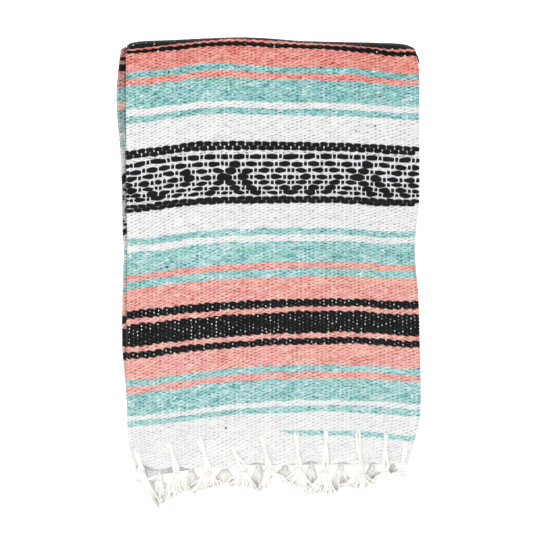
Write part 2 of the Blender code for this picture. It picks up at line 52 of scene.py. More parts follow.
# The folded stack, as the solids have it --------------------
PLY = 2.25
PACK = 4 * PLY  # the cloth folded in four across, which then goes to and fro four times
STACK = 4 * PACK
BACK = 256.0  # Y of the rolled back edge
BACK_RADIUS = 11.5  # of the back roll's two quarter turns
ROLL_START = BACK - BACK_RADIUS
FRONT_FOLD = -196.4  # Y of the fold under the front
CURL_RADIUS = 4.325  # a pack's left fold
TOP_HEM = -199.6
SIDE_SLOPE = 0.5  # the top face is this much lower along its sides
HEM_DIP = 0.7  # and this much lower between two tassels at the hem
HEM_DIP_RUN = 55.0
SECOND_TOP = 3 * PACK - 0.05  # height of the second pack's upper ply
SECOND_RIGHT_INSET = 1.6
LOWER_LEFT_INSET = 2.4
LOWER_RIGHT_INSET = 2.6
TOP_LEFT_AT, TOP_RIGHT_AT, SECOND_LEFT_AT = -152.8, 163.0, -160.0  # X of the sides at mid-length
SECOND_RIGHT_AT = TOP_RIGHT_AT - SECOND_RIGHT_INSET
FIT_FROM = 60.0  # the weft gives way to the sides' line from here outwards
HEM_FADE = -172.0  # the hems' own lines fade out at this Y
SECOND_SPLIT = -134.0  # X at which the second pack's upper ply is built in two sheets
SECOND_END = 241.0
BOW_RUN = 45.0  # the back edge's bow sets in over this much of the top face
ARCH_FADE = 18.0  # the picks' arch fades out between once and twice this far round the back roll
INNER_ROLL = 237.6  # Y of the centre of the roll that joins packs 2 and 3
INNER_RUN = 14.0
UNDER_TUCK = 10.0  # how far the bottom ply shows past the front fold
FRONT_TURN = FRONT_FOLD + PACK  # Y of the centre of the front fold
FLOOR_GAP = 0.05  # cloth stays this far above the floor
CURL_TAIL = CURL_RADIUS * (math.pi - 1)  # what a left fold takes up past its side
LIP_TAIL = 6.0  # how far the top ply's right edge runs back underneath
ROLL_TAIL = 1.0  # how far the top sheet runs on under the stack
# The ply's path: over the top, three stretches of the back roll, forward under the stack, round the front
# fold, back along pack 3 and round the roll inside. MARKS is the c at which each ends.
QUARTER = BACK_RADIUS * math.pi / 2
SPANS = [
    ROLL_START, QUARTER, STACK - 2 * BACK_RADIUS, QUARTER, ROLL_START - FRONT_TURN, PACK * math.pi,
    INNER_ROLL - FRONT_TURN, INNER_RUN,
]
MARKS = np.cumsum(SPANS)

# The second pack's stripes along the left fold: c, and how far ahead of the top face's they are.
SECOND_SHIFT = [
    (-223.0, 14.0), (0.0, 14.0), (20.0, 16.0), (30.0, 21.0), (47.0, 30.5), (110.0, 31.0), (144.5, 28.2),
    (154.3, 25.9), (160.0, 25.7), (181.0, 29.8), (187.0, 31.2), (201.4, 24.0), (217.6, 28.3), (260.0, 29.0),
]
# Painted shade on that fold: c, brightness, and how deep the painted shadow of the top ply's edge is.
FOLD_PAINTED_SHADE = [
    (-223.0, 1.0, 0.6), (0.0, 0.95, 0.6), (40.0, 0.9, 0.5), (75.0, 0.74, 0.5), (100.0, 0.74, 0.6),
    (125.0, 0.88, 0.8), (145.0, 0.88, 1.0), (160.0, 0.82, 1.0), (177.0, 0.8, 1.0), (183.0, 0.93, 1.0),
    (197.0, 0.95, 1.0), (204.0, 0.8, 1.0), (241.0, 0.76, 0.9),
]
# Painted shadow of the top ply's edge on that fold, by distance to the edge.
EDGE_PAINTED_SHADOW = [(0.0, 0.55), (0.6, 0.68), (1.9, 1.0)]  # distance to the top ply's edge, brightness there
SECOND_LAST, SECOND_BACK_C = 259.6, 240.0  # past the first of these c, the yarn is that of the second
FOLD_FADED = 0.1  # how far the second pack's left fold is worn to grey
# The left fold's back corner: the two X between which it sets in, the Y from which, and its reach back.
CORNER = (-150.5, -153.5, 150.0, 13.0)
# A pack's right-hand edges: name, depth of the middle, thickness, setback, c at which it starts.
RIGHT_EDGES = [
    ("selvedge_outer", 1.12, 2.0, 0.0, 294.0),
    ("selvedge_inner", 3.38, 2.1, 1.1, TOP_HEM + 2.0),
    ("weft_fold", 6.75, 4.3, 0.2, TOP_HEM + 2.0),
]

# The stack's sides: Y, X of the top pack's left and right side, and X of the lower packs' left.
SIDES = [
    (256.0, -152.8, 158.5, -157.2),
    (244.5, -153.4, 160.6, -159.2),
    (236.0, -153.0, 161.9, -160.2),
    (225.0, -153.2, 163.0, -161.9),
    (193.0, -153.3, 163.0, -164.6),
    (139.0, -152.8, 163.2, -160.3),
    (85.0, -152.3, 163.0, -158.2),
    (53.0, -151.9, 159.8, -158.0),
    (27.0, -151.7, 157.6, -156.8),
    (-12.0, -152.3, 161.4, -158.0),
    (-75.0, -152.8, 163.6, -158.2),
    (-119.0, -152.5, 164.6, -154.6),
    (-151.0, -151.8, 163.6, -152.6),
    (-172.0, -150.0, 158.0, -150.6),
    (-188.0, -147.4, 153.2, -148.2),
    (-205.0, -144.4, 149.6, -145.4),
    (-224.0, -142.0, 149.0, -141.0),
]
# The back edge's bow: X, and how far back it takes the edge.
BOW = [
    (-165.0, -9.0), (-150.0, -4.6), (-136.0, -2.3), (-110.0, -1.3), (-71.0, 0.4), (-32.0, 1.7), (0.0, 0.6),
    (32.0, -2.0), (71.0, -3.2), (123.0, -4.2), (148.0, -6.0), (165.0, -13.0),
]
# The second pack's hem: X, Y.
SECOND_HEM = [
    (-165.0, -223.0), (-130.0, -219.5), (-112.0, -213.5), (-90.0, -209.5), (-60.0, -206.5),
    (-20.0, -205.5), (40.0, -205.0), (165.0, -204.0),
]
SECOND_START = min(y for x, y in SECOND_HEM)
# Tassels on the top hem: neck_x, neck_y, hem_x, hem_y, tip_x, spread
TOP_TASSELS = [
    (-142.0, -185.6, -136.6, -204.0, -132.6, 5.0),
    (-107.6, -180.2, -99.0, -205.6, -97.6, 7.0),
    (-74.2, -175.9, -64.5, -207.0, -69.0, 6.5),
    (-38.7, -183.5, -26.0, -205.6, -26.6, 7.5),
    (-6.5, -172.7, 0.6, -203.0, 6.6, 6.5),
    (30.1, -168.4, 33.2, -202.6, 35.0, 5.5),
    (62.4, -166.2, 61.3, -206.4, 56.4, 5.5),
    (96.8, -166.2, 100.6, -206.6, 97.4, 6.5),
    (127.6, -170.5, 126.6, -205.0, 124.8, 6.0),
    (148.0, -180.5, 144.4, -204.2, 142.0, 4.0),
]
# Y of the top hem midway between each two top tassels.
SWAGS = [-208.6, -208.2, -208.6, -201.5, -204.6, -199.8, -200.8, -201.4, -203.0]
# Tassels on the second hem: hem_x, tip_x, spread
SECOND_TASSELS = [
    (-117.0, -119.6, 5.0), (-83.0, -83.4, 3.2), (-46.0, -47.8, 5.0), (-10.0, -9.6, 3.6), (18.6, 20.8, 3.4),
    (47.4, 45.8, 2.2), (78.8, 77.4, 5.4), (112.6, 111.4, 3.6), (135.4, 134.0, 2.0),
]

# x, Y at which the fringe's longest strands end; FRINGE_X keeps the strands' ends in from the corners.
FRINGE_END = [
    (-139.9, -220.0), (-132.3, -230.0), (-126.9, -250.0), (-122.7, -256.4), (-109.8, -247.5), (-96.8, -239.5),
    (-83.9, -237.0), (-71.0, -235.0), (-58.1, -230.5), (-45.2, -228.5), (-32.3, -234.0), (-19.4, -229.5),
    (-6.5, -238.3), (6.5, -219.0), (19.4, -223.0), (32.3, -231.5), (45.2, -239.8), (58.1, -237.0),
    (71.0, -238.3), (83.9, -228.5), (96.8, -233.5), (109.8, -228.5), (122.7, -218.0), (135.6, -221.0),
    (161.0, -220.0),
]
FRINGE_X = (FRINGE_END[0][0] - 1.0, 151.0)

# The weave --------------------
WARP = 4.46  # spacing of the warp pairs
PICK = 1.745  # spacing of the weft picks
FIGURE_X = -46.8  # X of the warp pair on which the figured band is centred
OVER = 0.32  # height of a weft float over the cloth's mean face
UNDER = -0.26  # height where a warp pair crosses over the weft
VALLEY = -0.40  # height of the furrow between two picks
BULGE = 0.48  # how far a float pushes the furrows apart
SLANT = 0.26  # how far a float's right end lies back of its left end
RIPPLE = 0.38  # how far the picks waver along the cloth

# Stripes of the top face from the hem to the roll: yarn, and the c at which it ends.
STRIPES = [
    ("white", -173.0), ("wedge", -167.2), ("white", -148.0), ("mint", -141.5), ("white", -136.1),
    ("mint", -112.4), ("coral", -104.9), ("mint", -98.5), ("coral", -76.2), ("black", -67.6),
    ("coral", -62.4), ("black", -40.6), ("coral", -35.6), ("black", -26.4), ("coral", -2.2), ("mint", 5.9),
    ("coral", 13.5), ("mint", 37.1), ("white", 42.5), ("mint", 51.1), ("white", 87.0), ("ground", 131.4),
    ("white", 172.7), ("mint", 180.2), ("white", 185.6), ("mint", 210.9), ("coral", 218.4), ("mint", 225.4),
    ("coral", 245.9), ("black", 251.7), ("coral", 255.3), ("black", 269.4),
]
FIGURE_REPEAT = 32  # warp pairs in one repeat of the lozenges
# The band's rows of floats, from the back: c, half the width of a float, how blunt its ends are.
FIGURE_ROWS = [
    (127.8, 2.95, 0.68), (120.0, 3.0, 0.50), (113.0, 2.8, 0.36), (106.0, 3.0, 0.32), (100.1, 2.5, 0.28),
    (94.3, 2.5, 0.28), (89.4, 2.15, 0.34),
]
# The two ropes: c of their two picks, half width of a bulge, brightness of the warps between.
ROPES = [((141.8, 137.5), 2.75, 0.80), ((83.2, 79.7), 2.25, 0.30)]
SPECKS_AT = 132.2  # c of the pick that shows as specks
SPECK_CHANCE = 0.45  # share of its warp pairs at which it does
SPECK_BLACK = (0.16, 0.16, 0.17)
BAND_ROWS = range(3, -4, -1)  # numbers of the band's rows, from the back
FIGURE_TICK, ROPE_TICK = 6.4, 2.6  # length of the warps that show over the lozenges and over the ropes
# Places where a row runs together with the next: X, row.
FULL = [
    (-145.0, -1), (-143.0, -3), (-125.0, -2), (-121.0, -3), (-84.0, 0), (-86.0, 1), (-61.0, -3), (-47.0, 0),
    (-39.0, 2), (-39.0, 1), (-40.0, -1), (-38.0, -2), (-24.0, 0), (-23.0, -1), (-14.0, -2), (-12.0, -3),
    (23.0, -2), (26.0, -3), (49.0, -2), (46.0, -3), (65.0, -1), (64.0, -2), (61.0, -3), (98.0, 1), (98.0, 0),
    (100.0, -1), (106.0, 2), (107.0, -2), (109.0, -3), (117.0, 0), (117.0, -1), (124.0, -2), (127.0, -3),
    (143.0, -2), (146.0, -3),
]
FULL_RUN = 7.0  # how far along the weft such a place reaches
FULL_SWELL = 0.42  # how much thicker the yarn is in it
TICK_HALF = 0.56  # half the width of a warp pair that crosses a thick yarn
DOTS_END = 281.0  # warps show as dots up to this c, over the roll
DOT_MISSING = 0.14  # share of the dots that stay hidden
FEW_DOTS_FROM, FEW_DOTS_MISSING = 240.0, 0.7  # and of the rest past this c
DOT_TONES, DOT_SHARES = [0.32, 0.5, 0.72, 1.0], [0.3, 0.27, 0.2, 0.23]  # brightness, and how many have it
DOT_LIFT = 0.42  # height of a dot over the cloth's mean face
REPEAT = 321.05  # past the last stripe the sequence starts again this far back

# How far back of their place at mid-width the picks lie: c, and a column for each X of ARCH_X.
ARCH_X = [-147.4, -127.0, -105.4, -83.9, -57.0, -40.9, 2.2, 66.7, 99.0, 120.5, 136.7, 152.8]
ARCH = [
    (257.0, (-12.3, -10.0, -7.4, -3.6, 0.3, 1.8, 0.0, -4.8, -8.9, -11.5, -12.2, -10.6)),
    (251.7, (-9.3, -7.0, -4.5, -2.0, 0.9, 1.8, 0.0, -2.8, -5.3, -8.3, -10.2, -9.7)),
    (245.0, (-6.7, -5.2, -3.7, -1.5, 1.2, 1.8, 0.0, -2.6, -5.8, -8.3, -10.2, -9.7)),
    (225.0, (-6.1, -4.5, -2.0, 1.2, 2.7, 2.7, 0.0, -1.0, -2.5, -6.2, -8.0, -8.6)),
    (185.0, (-8.3, -6.7, -3.8, -1.3, 1.4, 1.7, 0.0, -0.8, -2.4, -3.1, -4.6, -5.4)),
    (137.0, (-10.0, -7.2, -4.5, -1.2, -0.4, 0.0, 0.0, -1.3, -2.0, -3.5, -4.6, -5.5)),
    (127.0, (-10.2, -6.0, -3.4, -1.5, 0.0, 0.2, 0.0, 0.3, -0.5, -1.8, -3.0, -4.1)),
    (89.0, (-9.0, -7.5, -4.2, -2.3, -0.7, -0.4, 0.0, 0.3, -1.0, -2.7, -3.2, -3.6)),
    (51.0, (-12.0, -10.1, -7.0, -4.3, -1.2, 0.0, 0.0, 0.3, -0.9, -2.8, -2.8, -2.8)),
    (10.0, (-13.5, -10.7, -8.0, -5.3, -3.1, -2.2, 0.0, 0.2, -0.3, -1.5, -2.0, -2.5)),
    (-30.0, (-11.5, -9.3, -7.4, -4.5, -2.6, -1.5, 0.0, 2.0, 1.6, 0.1, -0.4, -0.8)),
    (-68.0, (-14.4, -12.4, -9.0, -6.8, -4.6, -2.8, 0.0, 2.0, 1.6, 0.4, -1.0, -2.4)),
    (-105.0, (-15.4, -13.9, -11.0, -8.0, -4.6, -2.8, 0.0, 1.3, 0.8, -1.0, -2.2, -3.5)),
    (-141.0, (-15.4, -14.0, -11.6, -8.6, -4.5, -2.6, 0.0, 2.2, 1.3, 0.2, -1.0, -2.4)),
    (-170.0, (-13.0, -10.5, -7.5, -5.0, -2.0, -1.1, 0.0, 1.1, 0.0, -1.6, -3.8, -5.9)),
]
WEDGE = (3.0, 34.0)  # the hem's mint picks come in between these two X

# Slubs on the top face: X, Y, length, radius, colour in sRGB.
SLUBS = [
    (-108.7, 9.1, 3.2, 0.75, (0.16, 0.12, 0.14)),
    (-106.5, 219.0, 2.6, 0.9, (0.12, 0.22, 0.22)),
    (-103.2, 165.0, 1.6, 0.5, (0.3, 0.3, 0.32)),
    (115.1, 160.9, 2.2, 0.8, (0.14, 0.14, 0.15)),
    (94.7, 155.5, 1.8, 0.55, (0.25, 0.25, 0.27)),
    (7.5, 61.9, 1.8, 0.5, (0.3, 0.33, 0.33)),
    (48.4, 69.4, 1.8, 0.5, (0.3, 0.33, 0.33)),
    (-45.2, -164.1, 2.6, 0.7, (0.35, 0.33, 0.33)),
    (-54.9, -45.7, 3.2, 0.8, (0.9, 0.89, 0.87)),
    (20.8, 233.9, 1.8, 0.6, (0.3, 0.14, 0.14)),
    (69.1, 228.4, 2.6, 0.8, (0.55, 0.16, 0.16)),
    (57.0, 222.9, 2.0, 0.7, (0.14, 0.18, 0.2)),
    (35.0, 213.7, 2.6, 0.8, (0.82, 0.36, 0.2)),
    (-118.0, 190.5, 2.0, 0.5, (0.2, 0.3, 0.32)),
    (-6.0, 180.0, 2.2, 0.55, (0.25, 0.4, 0.42)),
    (90.0, -119.0, 2.0, 0.5, (0.25, 0.4, 0.42)),
    (-60.0, -141.0, 2.0, 0.5, (0.4, 0.42, 0.42)),
]
SLUB_LIFT = 0.65  # height of a slub's middle over the cloth's mean face
TAIL = [(157.6, 240.6), (162.4, 228.6)]  # X, Y of the ends of the thread that hangs off the roll

# Yarns in sRGB: base, shade, fleck and drift, the hue that the yarn drifts to along its length.
YARNS = {
    "white": ((0.975, 0.975, 0.97), (0.90, 0.905, 0.905), (1.0, 1.0, 1.0), (0.98, 0.967, 0.967)),
    "ground": ((0.99, 0.985, 0.995), (0.93, 0.92, 0.945), (1.0, 1.0, 1.0), (0.985, 0.975, 0.995)),
    "mint": ((0.69, 0.875, 0.87), (0.41, 0.69, 0.71), (0.97, 0.975, 0.99), (0.66, 0.88, 0.80)),
    "coral": ((0.97, 0.735, 0.70), (0.92, 0.56, 0.53), (0.99, 0.87, 0.84), (0.97, 0.77, 0.66)),
    "black": ((0.09, 0.09, 0.098), (0.06, 0.06, 0.07), (0.17, 0.17, 0.19), (0.11, 0.13, 0.135)),
}


# Tone along the cloth, as a power of its colour: lighter towards the hem and darker towards the back.
TONE_ALONG = [
    (-200.0, 0.8), (-150.0, 0.85), (-100.0, 0.95), (0.0, 1.0), (185.0, 1.12), (226.0, 1.36), (246.0, 1.5),
]
WORN = (0.80, 0.79, 0.81)  # the grey of worn yarns round a fold


def linear(srgb):
    """Linear values of sRGB ones."""
    srgb = np.asarray(srgb, float)
    return np.where(srgb <= 0.04045, srgb / 12.92, ((srgb + 0.055) / 1.055) ** 2.4)


# Curves of the stack --------------------
def way(value, start, end):
    """How far a value is on its way from start to end: 0 before and 1 after."""
    return np.clip((value - start) / (end - start), 0.0, 1.0)


def between(xs, at):
    """Which span of the rising values xs each `at` lies in, and the share of that span before it."""
    at = np.clip(at, xs[0], xs[-1])
    i = np.clip(np.searchsorted(xs, at, side="right") - 1, 0, len(xs) - 2)
    return i, (at - xs[i]) / (xs[i + 1] - xs[i])


def curve(table, column=1):
    """A column of a table as a function of the first column, on the curve that the solids use."""
    rows = np.array(sorted(table))
    xs, vs = rows[:, 0], rows[:, column]
    before = np.maximum(np.arange(len(xs)) - 1, 0)
    after = np.minimum(np.arange(len(xs)) + 1, len(xs) - 1)
    slopes = (vs[after] - vs[before]) / (xs[after] - xs[before])

    def value(at):
        i, t = between(xs, at)
        span = xs[i + 1] - xs[i]
        return (
            (2 * t**3 - 3 * t**2 + 1) * vs[i]
            + (t**3 - 2 * t**2 + t) * span * slopes[i]
            + (3 * t**2 - 2 * t**3) * vs[i + 1]
            + (t**3 - t**2) * span * slopes[i + 1]
        )

    return value


top_left, top_right, lower_left = (curve(SIDES, column) for column in (1, 2, 3))
second_hem, back_bow, fringe_end, tone_along = map(curve, (SECOND_HEM, BOW, FRINGE_END, TONE_ALONG))
arch_marks = np.array(sorted(c for c, _ in ARCH))
arch_bends = [curve(zip(ARCH_X, bends)) for _, bends in sorted(ARCH)]


def gather(x):
    """At each X: how near to a tassel, 1 on it and 0 midway, the hem's Y on tassels and its Y midway."""
    xs, ys = np.array(TOP_TASSELS)[:, 2:4].T
    i, t = between(xs, x)
    return 0.5 + 0.5 * np.cos(2 * np.pi * t), ys[i] + (ys[i + 1] - ys[i]) * t, np.array(SWAGS)[i]


def top_hem(x):
    """Y of the top hem, which swags between the tassels that gather it."""
    near, gathered, midway = gather(x)
    return midway + (gathered - midway) * near


def top_height(x, y):
    """Height of the top face: lower along its sides, and between two tassels at the hem."""
    left, right = top_left(y), top_right(y)
    off_centre = np.minimum(np.abs(2 * (x - left) / (right - left) - 1), 1.0)
    fade = np.clip(1.0 - (y - TOP_HEM) / HEM_DIP_RUN, 0.0, 1.0)
    deepest = max(abs(row[3] - TOP_HEM) for row in TOP_TASSELS)
    near, gathered, _ = gather(x)
    dip = HEM_DIP * fade * (1.0 - np.abs((gathered - TOP_HEM) * near) / deepest)
    return STACK - SIDE_SLOPE * off_centre**4 - dip


def bow_at(x, y):
    """How far the back edge's bow moves a point of the lower plies back."""
    return back_bow(x) * way(y, TOP_HEM, BACK)


def arch(x, c):
    """How far a point of the top ply lies back of its pick's place at mid-width."""
    bends = np.stack([bend(x) for bend in arch_bends])
    i, t = between(arch_marks, c)
    low, high = (np.take_along_axis(bends, i[None] + k, 0)[0] for k in (0, 1))
    bend = low + (high - low) * t
    behind = way(c, TOP_HEM, arch_marks[0])
    return bend * behind + (top_hem(x) - TOP_HEM) * (1 - behind)


def slide(x, c):
    """Where the picks' arch puts a point along the cloth, and how far the back edge's bow moves it."""
    bow = back_bow(x) * np.clip((c - ROLL_START) / BOW_RUN + 1.0, 0.0, 1.0)
    past = np.clip((c - ROLL_START) / ARCH_FADE - 1.0, 0.0, 1.0)
    return c + (arch(x, c) - bow) * (1 - past), bow


def yarn_at(c):
    """Name of the yarn of the pick at c."""
    while c > STRIPES[-1][1]:
        c -= REPEAT
    return next(yarn for yarn, end in STRIPES if c <= end)


# Meshes --------------------
def add_piece(name, points, colours, uvs, material, faces=None):
    """A smooth piece from points in millimetres, with an sRGB colour and a UV for each.

    Without faces, the points are a grid of shape (rows, columns, 3).
    """
    faces = grid_faces(*points.shape[:2]) if faces is None else faces
    points = points.reshape(-1, 3).astype(np.float32) * MM
    mesh = bpy.data.meshes.new(name)
    mesh.from_pydata(points.tolist(), [], faces.tolist())
    paint = mesh.color_attributes.new("yarn", "FLOAT_COLOR", "POINT")
    rgba = np.ones((len(points), 4), np.float32)
    rgba[:, :3] = linear(colours.reshape(-1, 3))
    paint.data.foreach_set("color", rgba.ravel())
    layer = mesh.uv_layers.new(name="yarn_run")
    layer.data.foreach_set("uv", uvs.reshape(-1, 2)[faces.ravel()].astype(np.float32).ravel())
    mesh.shade_smooth()
    mesh.materials.append(material)
    made = add_object(name, mesh)
    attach(made, "root")
    return made


def grid_faces(rows, columns, first=0, closed=False):
    """Quads of a grid of points, row by row; closed joins each row's end to its start."""
    r, k = np.meshgrid(np.arange(rows - 1), np.arange(columns if closed else columns - 1), indexing="ij")
    a = first + r * columns + k
    b = first + r * columns + (k + 1) % columns
    return np.stack([a, b, b + columns, a + columns], -1).reshape(-1, 4)


def run_along(path):
    """Distance of each point of a path from its start."""
    return np.concatenate([[0.0], np.cumsum(np.linalg.norm(np.diff(path, axis=0), axis=1))])


def unit(vectors):
    """The vectors made 1 long."""
    return vectors / np.maximum(np.linalg.norm(vectors, axis=-1, keepdims=True), 1e-9)


def grid_normals(points):
    """Unit normals of a grid of points of shape (rows, columns, 3)."""
    along, across = np.gradient(points, axis=0), np.gradient(points, axis=1)
    return unit(np.cross(across, along))


def add_object(name, data):
    made = bpy.data.objects.new(name, data)
    bpy.context.scene.collection.objects.link(made)
    return made


# Materials --------------------
class Graph:
    """A material, and short hands for building its node graph."""

    def __init__(self, name):
        self.material = bpy.data.materials.new(name)
        self.material.use_nodes = True
        self.nodes, self.links = self.material.node_tree.nodes, self.material.node_tree.links

    def put(self, socket, value):
        if isinstance(value, bpy.types.NodeSocket):
            self.links.new(value, socket)
        elif value is not None:
            socket.default_value = value

    def shade(self, values):
        """Links or sets inputs of the material's shader by name."""
        for name, value in values.items():
            self.put(self.nodes["Principled BSDF"].inputs[name], value)

    def add(self, kind, *inputs, **settings):
        """A node with its first inputs linked or set; the result is its first output."""
        node = self.nodes.new(kind)
        for name, value in settings.items():
            setattr(node, name, value)
        for socket, value in zip(node.inputs, inputs):
            self.put(socket, value)
        return node.outputs[0]

    def math(self, operation, *inputs):
        return self.add("ShaderNodeMath", *inputs, operation=operation)

    def minus(self, first, second):
        return self.math("SUBTRACT", first, second)

    def times(self, first, second):
        return self.math("MULTIPLY", first, second)

    def gamma(self, colour, power):
        return self.add("ShaderNodeGamma", colour, power)

    def ramp(self, value, *ends):
        """Maps one range onto another, given as its ends and the other's, and clamps there."""
        return self.add("ShaderNodeMapRange", value, *ends)

    def noise(self, run, degrees, scale, detail, roughness):
        """Noise over the UVs, drawn out by scale along a direction."""
        place = self.add("ShaderNodeMapping", run, None, (0.0, 0.0, math.radians(degrees)), scale)
        return self.add("ShaderNodeTexNoise", place, None, 1.0, detail, roughness)

    def chance(self, column, row, layer):
        """A random number from 0 to 1 for each cell of the weave."""
        cell = self.add("ShaderNodeCombineXYZ", column, row, layer)
        return self.add("ShaderNodeTexWhiteNoise", cell, noise_dimensions="3D")

    def bump_at(self, value, width):
        """1 where value is 0, falling off to 0 at about twice the width."""
        scaled = self.math("DIVIDE", value, width)
        return self.math("POWER", math.exp(-1.0), self.times(scaled, scaled))

    def mix(self, share, first, second, blend="MIX"):
        node = self.nodes.new("ShaderNodeMix")
        node.data_type, node.blend_type = "RGBA", blend
        for socket, value in zip((node.inputs[0], node.inputs[6], node.inputs[7]), (share, first, second)):
            self.put(socket, value)
        return node.outputs[2]


FLECK_GREY = (0.93, 0.92, 0.94, 1.0)
DOT_WHITE = (0.93, 0.94, 0.95, 1.0)
# Painted shade of the furrows: the colour that darkens them, and the distances from the hem over which it
# grows.
PAINTED_FURROW_STROKE = (0.54, 0.55, 0.56, 1.0)
CALM_FROM, CALM_TO = 8.0, 60.0  # distances from the hem between which the furrows reach their full dark


def woven_colour(g, run, yarn, deep, colour):
    """Flecks the cloth, paints shade into the furrow between two picks and draws the white warps in the dips.
    """
    light = g.add("ShaderNodeRGBToBW", yarn)
    flecks = g.noise(run, 14, (0.43, 0.82, 1.0), 1.5, 0.5)
    colour = g.mix(g.times(g.ramp(flecks, 0.53, 0.68, 0.0, 0.62), light), colour, FLECK_GREY)
    colour = g.mix(g.ramp(flecks, 0.46, 0.30, 0.0, 0.6), colour, g.gamma(colour, 2.2))
    split = g.add("ShaderNodeSeparateXYZ", run).node.outputs
    weft = g.math("DIVIDE", g.minus(split[0], FIGURE_X), WARP)
    warp = g.math("DIVIDE", split[1], PICK)

    def across(row):
        """Place along a pick: 0 where a warp crosses over it, and -1 or 1 in the middle of a float."""
        return g.minus(g.math("FLOORED_MODULO", g.minus(weft, row), 2.0), 1.0)

    # Painted shade: a long stroke where the furrow rises at one side of a float, and a fainter one at the
    # other.
    below = g.math("FLOOR", warp)
    furrow = g.minus(g.minus(warp, below), 0.5)
    along = across(below)
    painted_stroke = g.times(g.bump_at(furrow, 0.27), g.bump_at(g.minus(along, 0.45), 0.42))
    painted_fall = g.times(g.bump_at(furrow, 0.2), g.bump_at(g.math("ADD", along, 0.5), 0.4))
    strength = g.ramp(g.chance(g.math("FLOOR", weft), below, 0.0), 0.0, 1.0, 0.35, 1.25)
    dark = g.math("ADD", g.times(painted_stroke, strength), g.times(painted_fall, 0.3))
    dark = g.times(g.math("MINIMUM", dark, 1.0), g.ramp(split[1], CALM_FROM, CALM_TO, 0.55, 1.0))
    colour = g.mix(dark, colour, g.mix(1.0, g.gamma(deep, 1.3), PAINTED_FURROW_STROKE, "MULTIPLY"))

    nearest = g.math("ROUND", warp)
    dot = g.times(g.bump_at(g.minus(warp, nearest), 0.42), g.bump_at(across(nearest), 0.16))
    bright = g.ramp(g.chance(g.math("ROUND", weft), nearest, 7.0), 0.35, 1.0, 0.0, 0.95)
    return g.mix(g.times(g.times(dot, bright), light), colour, DOT_WHITE)


def yarn_material(name, fibre_scale, relief, depth, woven=False):
    """Yarn whose colour is in the mesh, with its fibres drawn along it: relief mm high and depth dark.

    The UVs are millimetres.  On woven cloth they are the places along the weft and along the warp.
    """
    g = Graph(name)
    yarn = g.add("ShaderNodeVertexColor", layer_name="yarn")
    run = g.add("ShaderNodeUVMap", uv_map="yarn_run")
    fibres = g.noise(run, 20, fibre_scale, 3.0, 0.65)
    deep = g.gamma(yarn, 2.1)
    colour = g.mix(g.ramp(fibres, 0.42, 0.72, 0.0, depth), yarn, deep)
    if woven:
        colour = woven_colour(g, run, yarn, deep, colour)
    bump = g.nodes.new("ShaderNodeBump")
    for socket, value in (("Strength", 0.8), ("Distance", relief * MM), ("Height", fibres)):
        g.put(bump.inputs[socket], value)
    g.shade({
        "Base Color": colour, "Normal": bump.outputs["Normal"], "Roughness": 0.93, "Sheen Weight": 0.2,
        "Specular IOR Level": 0.15,
    })
    return g.material


CLOTH = yarn_material("serape_weave", (0.55, 2.4, 1.0), 0.35, 0.5, woven=True)
THICK = yarn_material("serape_thick_yarn", (0.9, 1.6, 1.0), 0.5, 0.5)
FRINGE = yarn_material("serape_fringe", (2.2, 0.8, 1.0), 0.3, 0.22)


def drifting(x, y, length, width, degrees):
    """Smooth noise of unit spread over arrays x and y, drawn out along a direction."""
    c, s = math.cos(math.radians(degrees)), math.sin(math.radians(degrees))
    p, q = (x * c + y * s) / length, (y * c - x * s) / width
    p, q = p - p.min(), q - q.min()
    table = rng.normal(size=(int(p.max()) + 2, int(q.max()) + 2))
    i, j = p.astype(int), q.astype(int)
    a, b = p - i, q - j
    near = table[i, j] * (1 - a) + table[i + 1, j] * a
    far = table[i, j + 1] * (1 - a) + table[i + 1, j + 1] * a
    return (near * (1 - b) + far * b) * 1.5


def heather(yarns, run, c, streak):
    """Colours of points whose yarn is given by name, heathered along the weft.

    run is the distance along the weft and c the distance along the cloth, both in millimetres.
    streak is noise that is shared by the points of a surface.
    """
    names = list(YARNS)
    index = np.array([names.index(name) for name in np.ravel(yarns)]).reshape(np.shape(yarns))
    tables = np.array([YARNS[name] for name in names])[index]
    base, shade, fleck, hue = (tables[..., k, :] for k in range(4))
    slow = drifting(run, c * 6.0, 9.0, 6.0 * PICK, 0.0)
    turn = np.clip(0.35 * drifting(run, c * 3.0, 26.0, 9.0, 0.0) + 0.05, 0.0, 0.6)[..., None]
    quick = rng.normal(size=np.shape(run))
    mix = 0.22 * slow + 0.38 * streak + 0.75 * quick
    dark = np.clip(0.72 * mix - 0.12, 0.0, 1.0)[..., None]
    light = np.clip(-0.70 * mix - 0.28, 0.0, 1.0)[..., None]
    colour = base + (hue - base) * turn
    colour = colour + (shade - colour) * dark
    return colour + (fleck - colour) * light


# The plies --------------------
EDGE = 0.95  # radius of a ply's rounded edge
FIRST_PICK = 1.2  # the first pick's crest lies this far behind the hem
# A hem's first rows of points: place back of the hem, depth in edge radii, share of the weave's relief.
HEM_ROWS = [(EDGE, 2.0, 0.0), (0.28, 1.7, 0.1), (0.0, 1.0, 0.3), (0.28, 0.3, 0.6)]
CREST, FURROW = 1, 2  # kinds of rows of a sheet, beside 0 for the hem's
THICKNESS_VARIES = 0.05  # spread of the picks' thickness
SKIN = 0.1  # the sheets lie this far outside the solids
RIPPLE_RUN, RIPPLE_WIDTH = 13.0, 8.0  # length of a ripple along the weft and along the cloth
STREAK = (7.0, 1.5, 21.0)  # length, width and slant of the streaks that neighbouring yarns share
# Painted shade in the furrows between picks, given as their brightness.
PAINTED_FURROW_DIM = 0.95  # brightness of the furrows between picks


